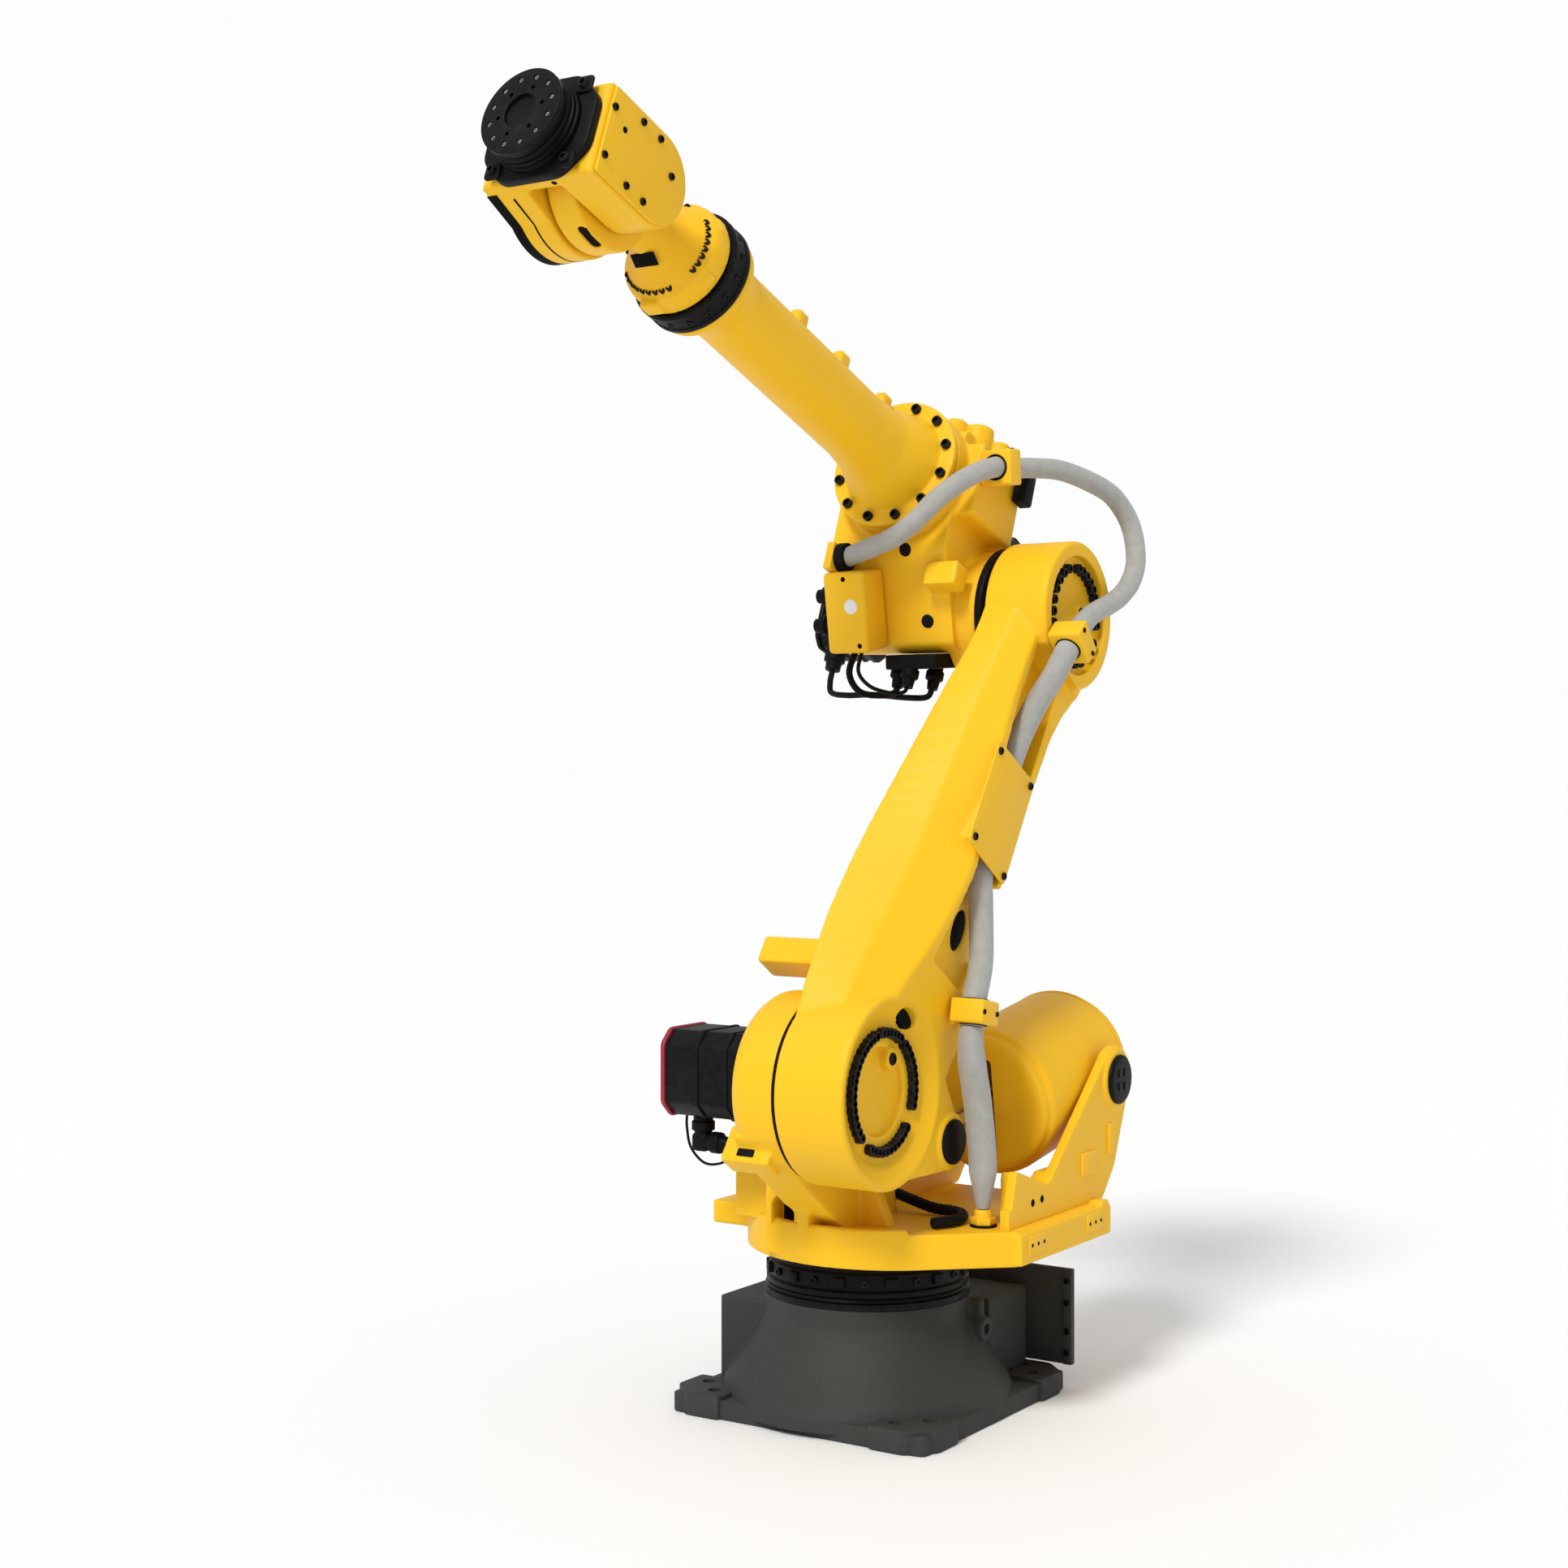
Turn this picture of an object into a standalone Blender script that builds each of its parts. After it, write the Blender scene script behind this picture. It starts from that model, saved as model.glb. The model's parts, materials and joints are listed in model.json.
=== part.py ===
"""Six-axis industrial robot arm on a floor base, with a spring balancer behind the shoulder.

Metres, +Z up. The origin is on the floor, on the slewing axis; +X is the way the arm faces
and +Y its left side. The arm is modelled leaning back, with the forearm raised.
"""

import math

import bmesh
import bpy
from mathutils import Matrix, Vector

# ---- driving dimensions -------------------------------------------------------------------
SHOULDER_X = 0.312          # shoulder axis, ahead of the slewing axis
SHOULDER_Z = 0.670
ARM_LENGTH = 1.075          # shoulder axis to elbow axis
ELBOW_RISE = 0.225          # elbow axis to the forearm's own axis
FOREARM_LENGTH = 1.310      # along the forearm, elbow to wrist bend axis
FLANGE_REACH = 0.225        # wrist bend axis to the tool flange face
ARM_LEAN = -33.41           # degrees from upright, backward
FOREARM_PITCH = 20.98       # degrees above level

BASE_TOP = 0.225
TABLE_BOTTOM = 0.325
TABLE_TOP = 0.392
PLATE_HALF = 0.300
PLATE_TOP = 0.043

DRUM_RADIUS = 0.176         # shoulder gear housing
DRUM_Y = (-0.003, 0.094)
HUB_RADIUS = 0.180
ARM_IN_Y = 0.100            # the arm's inner face at the shoulder
ARM_OUT_Y = 0.246
ELBOW_IN_Y = 0.190          # the arm's inner face at the elbow
ELBOW_OUT_Y = 0.328
ELBOW_HUB_RADIUS = 0.150

TRUNNION = (-0.380, 0.185, 0.625)    # the balancer swings here
BALANCER_RADIUS = 0.150
PIN_BACK = 0.244            # balancer pin, behind the shoulder axis in the arm's own frame
PIN_UP = 0.020
PIN_RADIUS = 0.020
PAD_TILT = 55               # degrees, the stop pad ahead of the shoulder
BOX_TILT = 30               # degrees, the connector box on the elbow casing

HOSE_RADIUS = 0.0225
BORE_CLEARANCE = 0.004      # between the hose and a clamp's bore
GAP = 0.0003                # between pieces that rest on each other

# hose clamps: centre in the frame of the piece that carries them, and pitch in degrees
LOWER_CLAMP = ((-0.100, 0.300, 0.225), 22.0)
UPPER_CLAMP = ((0.060, 0.3670, 0.965), -17.0)
ELBOW_CLAMP = ((0.195, 0.2005, 0.243), 25.0)

# The hose's route in four stretches, each in the frame that carries it. A stretch starts
# where the one before it ends.
BASE_HOSE = ((0.066, 0.298, 0.4254), (0.070, 0.298, 0.530), (0.090, 0.298, 0.635),
             (0.110, 0.298, 0.705), (0.1152, 0.298, 0.7505))
ARM_HOSE = ((-0.1105, 0.298, 0.199), (-0.100, 0.298, 0.225), (-0.0895, 0.298, 0.251),
            (-0.082, 0.292, 0.325), (-0.050, 0.279, 0.417), (-0.019, 0.2735, 0.487),
            (-0.008, 0.2735, 0.600), (0.001, 0.2765, 0.700), (0.014, 0.288, 0.770),
            (0.032, 0.312, 0.835), (0.054, 0.346, 0.888), (0.0685, 0.3655, 0.932),
            (0.060, 0.367, 0.965))
LOOP_HOSE = ((-0.1882, 0.367, 1.5243), (-0.2077, 0.367, 1.5405), (-0.246, 0.3675, 1.563),
             (-0.290, 0.367, 1.578), (-0.338, 0.365, 1.591), (-0.402, 0.360, 1.612),
             (-0.466, 0.353, 1.645), (-0.516, 0.342, 1.694), (-0.540, 0.322, 1.760),
             (-0.520, 0.305, 1.810), (-0.471, 0.288, 1.843), (-0.370, 0.248, 1.872),
             (-0.290, 0.214, 1.873), (-0.2418, 0.2008, 1.8680))
FOREARM_HOSE = ((0.1705, 0.2005, 0.2544), (0.195, 0.2005, 0.243), (0.2195, 0.2005, 0.2316),
                (0.265, 0.180, 0.193), (0.295, 0.138, 0.1365), (0.300, 0.093, 0.081),
                (0.290, 0.045, 0.053), (0.278, 0.000, 0.043), (0.258, -0.052, 0.039),
                (0.245, -0.085, 0.037), (0.243, -0.1035, 0.0365))
HOSE_SPAN = 3               # points that smooth each step of the route
HOSE_JOINT_GAP = 0.0012     # left between one stretch's end and the next

YELLOW = (0.93, 0.62, 0.04, 1.0)
GREY = (0.045, 0.045, 0.04, 1.0)
BLACK = (0.012, 0.012, 0.014, 1.0)
RED = (0.35, 0.02, 0.03, 1.0)
HOSE_GREY = (0.32, 0.32, 0.33, 1.0)


# ---- scene, materials and frames ----------------------------------------------------------
def clear_scene():
    for obj in list(bpy.data.objects):
        bpy.data.objects.remove(obj, do_unlink=True)


def new_collection(name):
    collection = bpy.data.collections.new(name)
    bpy.context.scene.collection.children.link(collection)
    return collection


def material(name, colour, roughness, metallic=0.0):
    mat = bpy.data.materials.new(name)
    mat.use_nodes = True
    shader = mat.node_tree.nodes["Principled BSDF"]
    shader.inputs["Base Color"].default_value = colour
    shader.inputs["Roughness"].default_value = roughness
    shader.inputs["Metallic"].default_value = metallic
    return mat


def frame(name, location, pitch=0.0, parent=None):
    """An empty on a joint, turned about Y by pitch degrees."""
    empty = bpy.data.objects.new(name, None)
    empty.location = location
    empty.rotation_euler = (0.0, math.radians(pitch), 0.0)
    empty.parent = parent
    PARTS.objects.link(empty)
    return empty


# ---- shapes -------------------------------------------------------------------------------
def add(name, mesh, parent, mat=None, cutter=False):
    """An object of this mesh in its parent's frame, or a hidden cutter."""
    obj = bpy.data.objects.new(name, mesh)
    obj.parent = parent
    if cutter:
        CUTTERS.objects.link(obj)
        obj.hide_render = True
        obj.display_type = "WIRE"
    else:
        PARTS.objects.link(obj)
        obj.data.materials.append(mat)
        obj.data.shade_smooth()
        obj.data.set_sharp_from_angle(angle=math.radians(35))
    return obj


def mesh_from(bm, name):
    bmesh.ops.recalc_face_normals(bm, faces=bm.faces)
    mesh = bpy.data.meshes.new(name)
    bm.to_mesh(mesh)
    bm.free()
    return mesh


def box_mesh(size, centre, bevel=0.0, turn=None):
    """A box of this size about centre, its edges broken by bevel, turned by a matrix."""
    bm = bmesh.new()
    bmesh.ops.create_cube(bm, size=1.0)
    bmesh.ops.scale(bm, vec=size, verts=bm.verts)
    if bevel:
        bmesh.ops.bevel(bm, geom=bm.edges[:], offset=bevel, segments=1, affect="EDGES")
    if turn is not None:
        bmesh.ops.transform(bm, matrix=turn, verts=bm.verts)
    bmesh.ops.translate(bm, vec=centre, verts=bm.verts)
    return mesh_from(bm, "box")


TURN_TO = {
    "X": Matrix.Rotation(math.radians(90), 4, "Y"),
    "Y": Matrix.Rotation(math.radians(-90), 4, "X"),
    "Z": Matrix.Identity(4),
}


def rod_mesh(axis, start, end, radius, centre=(0.0, 0.0), end_radius=None, sides=32):
    """A cylinder or cone along axis, from start to end, about centre in the other two axes."""
    bm = bmesh.new()
    tip = radius if end_radius is None else end_radius
    bmesh.ops.create_cone(bm, cap_ends=True, segments=sides, radius1=radius, radius2=tip,
                          depth=end - start)
    bmesh.ops.transform(bm, matrix=TURN_TO[axis], verts=bm.verts)
    middle = (start + end) / 2
    u, v = centre
    place = {"X": (middle, u, v), "Y": (u, middle, v), "Z": (u, v, middle)}[axis]
    bmesh.ops.translate(bm, vec=place, verts=bm.verts)
    return mesh_from(bm, "rod")


def turned_mesh(profile, axis, centre=(0.0, 0.0, 0.0), sides=40):
    """A solid of revolution: profile lists (radius, height) from top to bottom."""
    bm = bmesh.new()
    verts = [bm.verts.new((radius, 0.0, height)) for radius, height in profile]
    for a, b in zip(verts, verts[1:]):
        bm.edges.new((a, b))
    mesh = mesh_from(bm, "profile")
    obj = bpy.data.objects.new("profile", mesh)
    CUTTERS.objects.link(obj)
    screw = obj.modifiers.new("Turn", "SCREW")
    screw.steps = sides
    screw.render_steps = sides
    screw.use_merge_vertices = True
    screw.merge_threshold = 0.0001
    turned = evaluated(obj)
    turned.transform(TURN_TO[axis])
    turned.transform(Matrix.Translation(centre))
    return turned


def evaluated(obj):
    """The mesh of an object with its modifiers applied, welded; the object is removed."""
    graph = bpy.context.evaluated_depsgraph_get()
    mesh = bpy.data.meshes.new_from_object(obj.evaluated_get(graph))
    bm = bmesh.new()
    bm.from_mesh(mesh)
    bmesh.ops.remove_doubles(bm, verts=bm.verts, dist=0.00005)
    bmesh.ops.recalc_face_normals(bm, faces=bm.faces)
    bm.to_mesh(mesh)
    bm.free()
    bpy.data.objects.remove(obj, do_unlink=True)
    return mesh


PLANE_TURN = {
    "Z": Matrix.Identity(4),
    "Y": Matrix(((1, 0, 0, 0), (0, 0, -1, 0), (0, 1, 0, 0), (0, 0, 0, 1))),
    "X": Matrix(((0, 0, 1, 0), (1, 0, 0, 0), (0, 1, 0, 0), (0, 0, 0, 1))),
}


def plate_mesh(outline, axis, start, end, bevel=0.0):
    """A flat outline extruded along axis. Its points are (x, y), (x, z) or (y, z)."""
    curve = bpy.data.curves.new("outline", "CURVE")
    curve.dimensions = "2D"
    curve.fill_mode = "BOTH"
    curve.extrude = abs(end - start) / 2
    spline = curve.splines.new("POLY")
    spline.points.add(len(outline) - 1)
    for point, (u, v) in zip(spline.points, outline):
        point.co = (u, v, 0.0, 1.0)
    spline.use_cyclic_u = True
    obj = bpy.data.objects.new("outline", curve)
    CUTTERS.objects.link(obj)
    mesh = evaluated(obj)
    bpy.data.curves.remove(curve)
    mesh.transform(PLANE_TURN[axis])
    middle = (start + end) / 2
    shift = {"X": (middle, 0, 0), "Y": (0, middle, 0), "Z": (0, 0, middle)}[axis]
    mesh.transform(Matrix.Translation(shift))
    if bevel:
        bm = bmesh.new()
        bm.from_mesh(mesh)
        bmesh.ops.recalc_face_normals(bm, faces=bm.faces)
        sharp = [e for e in bm.edges if e.calc_face_angle(0.0) > math.radians(50)]
        bmesh.ops.bevel(bm, geom=sharp, offset=bevel, segments=1, affect="EDGES")
        bm.to_mesh(mesh)
        bm.free()
    return mesh


def arc(centre, radius, start, end, steps=10):
    """Points on an arc in degrees, both ends included."""
    cu, cv = centre
    turn = [math.radians(start + (end - start) * i / steps) for i in range(steps + 1)]
    return [(cu + radius * math.cos(t), cv + radius * math.sin(t)) for t in turn]


def loft_mesh(sections):
    """A closed skin through rings of points, capped at both ends."""
    bm = bmesh.new()
    rings = [[bm.verts.new(p) for p in ring] for ring in sections]
    for low, high in zip(rings, rings[1:]):
        for i in range(len(low)):
            j = (i + 1) % len(low)
            bm.faces.new((low[i], low[j], high[j], high[i]))
    bm.faces.new(rings[0])
    bm.faces.new(rings[-1])
    return mesh_from(bm, "loft")


def combine(obj, operation, meshes):
    """Join meshes to obj, or cut them from it, each with its own Boolean modifier."""
    for mesh in meshes:
        tool = add(obj.name + ".tool", mesh, obj.parent, cutter=True)
        step = obj.modifiers.new(operation.title(), "BOOLEAN")
        step.operation = operation
        step.solver = "EXACT"
        step.object = tool
    return obj


def join(obj, *meshes):
    return combine(obj, "UNION", meshes)


def cut(obj, *meshes):
    return combine(obj, "DIFFERENCE", meshes)


def smooth_route(points, per_span):
    """A smooth curve through the route's points."""
    pts = [Vector(p) for p in points]
    pts = [pts[0] * 2 - pts[1]] + pts + [pts[-1] * 2 - pts[-2]]
    route = []
    for a, b, c, d in zip(pts, pts[1:], pts[2:], pts[3:]):
        for i in range(per_span):
            t = i / per_span
            route.append(0.5 * (2 * b + (c - a) * t + (2 * a - 5 * b + 4 * c - d) * t * t
                                + (3 * b - 3 * c + d - a) * t ** 3))
    route.append(pts[-2])
    return route


def hose(name, route, radius, parent, mat):
    """A round hose along a finished route of points."""
    curve = bpy.data.curves.new(name, "CURVE")
    curve.dimensions = "3D"
    curve.bevel_depth = radius
    curve.bevel_resolution = 2
    curve.use_fill_caps = True
    spline = curve.splines.new("POLY")
    spline.points.add(len(route) - 1)
    for point, place in zip(spline.points, route):
        point.co = (*place, 1.0)
    obj = bpy.data.objects.new(name, curve)
    obj.parent = parent
    PARTS.objects.link(obj)
    curve.materials.append(mat)


def hose_run(stretches, radius, parent, mat):
    """One smooth hose in several pieces: (name, frame, points) for each stretch."""
    places = []
    starts = []
    for _, carrier, points in stretches:
        starts.append(len(places))
        places += [carrier.matrix_world @ Vector(point) for point in points]
    starts.append(len(places) - 1)
    route = smooth_route(places, HOSE_SPAN)
    for (name, _, _), low, high in zip(stretches, starts, starts[1:]):
        piece = [point.copy() for point in route[low * HOSE_SPAN:high * HOSE_SPAN + 1]]
        piece[0] += (piece[1] - piece[0]).normalized() * HOSE_JOINT_GAP
        piece[-1] += (piece[-2] - piece[-1]).normalized() * HOSE_JOINT_GAP
        hose(name, piece, radius, parent, mat)


def hose_clamp(name, clamp, axis, size, parent, mats):
    """A block round a hose that runs along axis, turned by the clamp's pitch."""
    centre, pitch = clamp
    place = Matrix.Translation(centre) @ Matrix.Rotation(math.radians(pitch), 4, "Y")
    block = box_mesh(size, (0, 0, 0), 0.005)
    bore = rod_mesh(axis, -0.08, 0.08, HOSE_RADIUS + BORE_CLEARANCE, sides=24)
    for mesh in (block, bore):
        mesh.transform(place)
    cut(add(name, block, parent, mats["yellow"]), bore)


# ---- base ---------------------------------------------------------------------------------
def build_base(world, mats):
    half = PLATE_HALF
    centre_x = -0.016
    chamfer = 0.045
    corner = half - chamfer
    outline = [(centre_x + sx * a, sy * b)
               for sx, sy, order in ((1, 1, 1), (-1, 1, -1), (-1, -1, 1), (1, -1, -1))
               for a, b in ((half, corner), (corner, half))[::order]]
    base = add("base_casting", plate_mesh(outline, "Z", 0.0, 0.036), world, mats["grey"])
    cone = [(0.0, BASE_TOP), (0.206, BASE_TOP), (0.206, 0.190), (0.216, 0.168),
            (0.284, 0.062), (0.290, 0.020), (0.0, 0.020)]
    join(base, turned_mesh(cone, "Z"),
         box_mesh((0.417, 0.227, 0.170), (-0.0915, -0.1635, 0.115), 0.008),
         box_mesh((0.160, 0.400, 0.170), (-0.220, 0.0, 0.115), 0.008))
    ear = 0.062
    for sx in (1, -1):
        for sy in (1, -1):
            place = (centre_x + sx * (half - ear + 0.012), sy * (half - ear + 0.005), 0.0216)
            foot = box_mesh((2 * ear, 2 * ear, PLATE_TOP), place, 0.012)
            join(base, foot)
    add("base_rear_panel", box_mesh((0.016, 0.575, 0.195), (-0.3235, 0.005, 0.141), 0.002),
        world, mats["grey"])
    ring = [(0.0, 0.319), (0.190, 0.319), (0.190, 0.292), (0.200, 0.286), (0.200, 0.262),
            (0.204, 0.256), (0.204, BASE_TOP + GAP), (0.0, BASE_TOP + GAP)]
    add("slew_ring", turned_mesh(ring, "Z"), world, mats["black"])


# ---- turret -------------------------------------------------------------------------------
def build_turret(world, mats):
    top = TABLE_TOP
    table = arc((0.0, 0.05), 0.280, 45, -150, 22)
    outline = [(-0.300, 0.380), (0.083, 0.380)] + table + [(-0.300, -0.110)]
    turret = add("turret_table", plate_mesh(outline, "Z", TABLE_BOTTOM, top, 0.006), world,
                 mats["yellow"])
    join(turret, box_mesh((0.085, 0.095, 0.042), (0.075, -0.2475, 0.368), 0.004),
         box_mesh((0.365, 0.022, 0.052), (-0.110, 0.380, 0.360), 0.003),
         box_mesh((0.040, 0.078, 0.056), (0.252, -0.024, 0.3630), 0.003),
         box_mesh((0.040, 0.026, 0.056), (0.262, 0.0285, 0.3630), 0.003))

    pillar = [(0.030, top + GAP), (0.225, top + GAP), (0.300, 0.440), (0.440, 0.545),
              (0.470, 0.590), (0.150, 0.740), (0.060, 0.560)]
    pedestal = add("shoulder_pedestal", plate_mesh(pillar, "Y", DRUM_Y[0], 0.088), world,
                   mats["yellow"])
    drum = rod_mesh("Y", DRUM_Y[0], DRUM_Y[1], DRUM_RADIUS, (SHOULDER_X, SHOULDER_Z), sides=48)
    pocket = box_mesh((0.175, 0.165, 0.118), (0.1435, -0.080, top + 0.0593), 0.006)
    pad = box_mesh((0.070, 0.105, 0.050), (0.428, 0.020, 0.560), 0.004,
                   Matrix.Rotation(math.radians(PAD_TILT), 4, "Y"))
    porch = box_mesh((0.102, 0.078, 0.082), (0.221, -0.024, top + GAP + 0.041), 0.005)
    rib = box_mesh((0.042, 0.026, 0.066), (0.263, 0.0285, top + GAP + 0.033), 0.003)
    join(pedestal, drum, pocket, pad, porch, rib)
    cut(pedestal, box_mesh((0.070, 0.050, 0.060), (0.262, -0.0235, 0.4120), 0.008))

    add("shoulder_motor", box_mesh((0.170, 0.2062, 0.172), (SHOULDER_X, -0.1064, 0.682), 0.016),
        world, mats["black"])
    add("shoulder_motor_cap", box_mesh((0.172, 0.012, 0.174), (SHOULDER_X, -0.2158, 0.682), 0.005),
        world, mats["red"])
    add("slew_motor", box_mesh((0.150, 0.150, 0.230), (-0.080, -0.080, top + 0.1153), 0.010),
        world, mats["black"])

    tx, _, tz = TRUNNION
    leg = [(0.083, top + GAP), (0.050, 0.500), (-0.080, 0.455)]
    leg += arc((tx, tz), 0.068, 40, 190, 10)
    leg += [(-0.375, 0.450), (-0.320, top + GAP)]
    foot = [(0.036, top + GAP), (0.030, 0.493), (-0.080, 0.455), (-0.106, 0.474),
            (-0.340, 0.474), (-0.318, top + GAP)]
    for name, start, end, side in (("balancer_frame_left", 0.341, 0.362, 1),
                                   ("balancer_frame_right", 0.004, 0.028, -1)):
        shape = leg if side > 0 else [(-0.060, top + GAP)] + leg[2:]
        plate = add(name, plate_mesh(shape, "Y", start, end), world, mats["yellow"])
        low, high = (0.350, 0.368) if side > 0 else (-0.004, 0.010)
        join(plate, rod_mesh("Y", low, high, 0.060, (tx, tz)))
        if side > 0:
            join(plate, plate_mesh(foot, "Y", 0.316, 0.343))
    add("trunnion_cap", rod_mesh("Y", 0.3683, 0.376, 0.050, (tx, tz)), world, mats["black"])
    add("hose_fitting", rod_mesh("Z", top + GAP, 0.425, 0.024, (0.066, 0.298)), world,
        mats["yellow"])
    add("shoulder_connector", rod_mesh("Z", 0.535, 0.5957, 0.020, (SHOULDER_X + 0.02, -0.165)),
        world, mats["black"])


# ---- lower arm ----------------------------------------------------------------------------
# along the arm, front face, inner face, ridge, outer face, rear face
ARM_SECTIONS = (
    (-0.02, 0.160, 0.1005, 0.120, 0.244, -0.160),
    (0.15, 0.178, 0.1005, 0.090, 0.248, -0.165),
    (0.30, 0.176, 0.1005, 0.055, 0.270, -0.150),
    (0.45, 0.170, 0.1150, 0.050, 0.294, -0.125),
    (0.60, 0.158, 0.1350, 0.075, 0.300, -0.110),
    (0.80, 0.148, 0.1680, 0.095, 0.300, -0.105),
    (0.93, 0.140, 0.1903, 0.100, 0.308, -0.115),
    (1.06, 0.130, 0.1903, 0.100, 0.320, -0.130),
)

ARM_BULGE = (0.014, 0.010)  # how far the front face stands out at its middle
HUB_DISH = [(0.0, 0.300), (0.176, 0.300), (0.170, 0.247), (0.128, 0.218), (0.0, 0.218)]


def build_lower_arm(arm, mats):
    rings = [((mf, yi, z), ((mf + mr) / 2 + ARM_BULGE[0], (yi + yo) / 2 + ARM_BULGE[1], z),
              (mr, yo, z), (mb, yo, z), (mb, yi, z)) for z, mf, yi, mr, yo, mb in ARM_SECTIONS]
    casting = add("lower_arm_casting", loft_mesh(rings), arm, mats["yellow"])
    join(casting,
         rod_mesh("Y", ARM_IN_Y, ARM_OUT_Y, HUB_RADIUS, sides=48),
         rod_mesh("Y", ELBOW_IN_Y, ELBOW_OUT_Y, ELBOW_HUB_RADIUS, (0.0, ARM_LENGTH), sides=48))
    pin = (-PIN_BACK, PIN_UP)
    lobe = [(-0.060, 0.165)] + arc(pin, 0.056, 75, 255, 10) + [(-0.060, -0.160)]
    join(casting, plate_mesh(lobe, "Y", 0.212, 0.245),
         rod_mesh("Y", 0.158, 0.250, PIN_RADIUS, pin, sides=24),
         rod_mesh("Y", 0.2125, 0.250, 0.050, pin),
         box_mesh((0.065, 0.167, 0.055), (0.085, 0.0215, 0.222), 0.004))
    channel = [(0.030, 0.262), (0.030, 0.450), (0.055, 0.600), (0.072, 0.800), (0.080, 0.950),
               (-0.300, 0.950), (-0.300, 0.262)]
    cut(casting, plate_mesh(channel, "Y", 0.247, 0.400),
        turned_mesh(HUB_DISH, "Y", sides=44),
        rod_mesh("Y", 0.310, 0.400, 0.120, (0.0, ARM_LENGTH), sides=40))
    wall = [(-0.050, 0.470), (-0.050, 0.955), (-0.125, 0.955), (-0.096, 0.890),
            (-0.080, 0.827), (-0.067, 0.640), (-0.064, 0.470)]
    join(casting, plate_mesh(wall, "Y", 0.240, 0.3004),
         box_mesh((0.030, 0.040, 0.190), (0.075, 0.280, 0.595), 0.003))
    cover = [(0.104, 0.480), (0.104, 0.705), (-0.062, 0.712), (-0.062, 0.478)]
    add("hose_cover", plate_mesh(cover, "Y", 0.3008, 0.3048), arm, mats["yellow"])
    add("balancer_pin_cap", rod_mesh("Y", 0.2503, 0.257, 0.043, pin), arm, mats["black"])
    hose_clamp("hose_clamp_lower", LOWER_CLAMP, "Z", (0.068, 0.070, 0.046), arm, mats)
    hose_clamp("hose_clamp_upper", UPPER_CLAMP, "Z", (0.075, 0.076, 0.046), arm, mats)


# ---- balancer -----------------------------------------------------------------------------
def build_balancer(swing, pin, mats):
    radius = BALANCER_RADIUS
    body = [(0.0, 0.250), (0.128, 0.250), (0.138, 0.240), (radius, 0.190), (radius, -0.100),
            (0.135, -0.135), (0.105, -0.160), (0.060, -0.175), (0.0, -0.180)]
    cylinder = add("balancer_cylinder", turned_mesh(body, "X", sides=44), swing, mats["yellow"])
    cut(cylinder, box_mesh((0.360, 0.056, 0.190), (0.090, 0.0, 0.0)))
    rod = add("balancer_rod", rod_mesh("X", -0.520, -0.030, 0.018, sides=20), pin,
              mats["steel"])
    join(rod, rod_mesh("Y", -0.020, 0.020, 0.042, sides=32))
    cut(rod, rod_mesh("Y", -0.050, 0.050, PIN_RADIUS + 0.0015, sides=24))


# ---- elbow and forearm --------------------------------------------------------------------
def build_forearm(elbow, mats):
    rise = ELBOW_RISE
    profile = [(-0.080, -0.040), (0.080, -0.108), (0.112, -0.108), (0.1955, 0.031),
               (0.2200, 0.0720), (0.2200, 0.330), (-0.080, 0.330)]
    casing = add("elbow_casing", plate_mesh(profile, "Y", -0.150, 0.120, 0.006), elbow,
                 mats["yellow"])
    join(casing,
         rod_mesh("Y", 0.100, 0.164, 0.138, sides=44),
         rod_mesh("X", 0.100, 0.2617, 0.139, (0.0, rise), sides=44),
         box_mesh((0.180, 0.090, 0.160), (0.1250, 0.120, 0.215), 0.012),
         box_mesh((0.050, 0.072, 0.050), (0.190, 0.118, 0.008), 0.004))
    cut(casing, box_mesh((0.100, 0.060, 0.230), (-0.050, 0.106, 0.240), 0.010))
    add("elbow_reducer", rod_mesh("Y", 0.1643, 0.184, 0.128, sides=40), elbow, mats["black"])
    for name, z in (("roll_motor", 0.272), ("bend_motor", 0.162), ("tool_motor", 0.052)):
        add(name, box_mesh((0.200, 0.100, 0.100), (-0.1803, -0.045, z), 0.010), elbow,
            mats["black"])
    add("elbow_motor", box_mesh((0.130, 0.110, 0.130), (0.0, -0.2053, -0.010), 0.012), elbow,
        mats["black"])
    tube = [(0.0, 1.002), (0.104, 1.002), (0.104, 0.985), (0.080, 0.955), (0.073, 0.930),
            (0.073, 0.430), (0.082, 0.360), (0.104, 0.300), (0.110, 0.2803), (0.139, 0.2803),
            (0.139, 0.262), (0.0, 0.262)]
    add("forearm_tube", turned_mesh(tube, "X", (0, 0, rise), 44), elbow, mats["yellow"])
    ring = [(0.0, 1.050), (0.106, 1.050), (0.109, 1.047), (0.109, 1.0053), (0.106, 1.0023),
            (0.0, 1.0023)]
    add("wrist_ring", turned_mesh(ring, "X", (0, 0, rise), 44), elbow, mats["black"])
    lower_box = box_mesh((0.085, 0.095, 0.165), (0.0, 0.0, -0.0825), 0.010)
    lower_box.transform(Matrix.Translation((0.236, -0.075, 0.010))
                        @ Matrix.Rotation(math.radians(BOX_TILT), 4, "Y"))
    join(add("connector_box", lower_box, elbow, mats["yellow"]),
         box_mesh((0.062, 0.0175, 0.058), (0.243, -0.1138, 0.030), 0.002))
    add("box_connectors", rod_mesh("Y", -0.160, -0.1228, 0.018, (0.213, -0.035)), elbow,
        mats["black"])
    add("elbow_connector", rod_mesh("Z", -0.125, -0.0753, 0.020, (0.030, -0.215)), elbow,
        mats["black"])
    hose_clamp("hose_clamp_elbow", ELBOW_CLAMP, "X", (0.048, 0.069, 0.072), elbow, mats)


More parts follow.
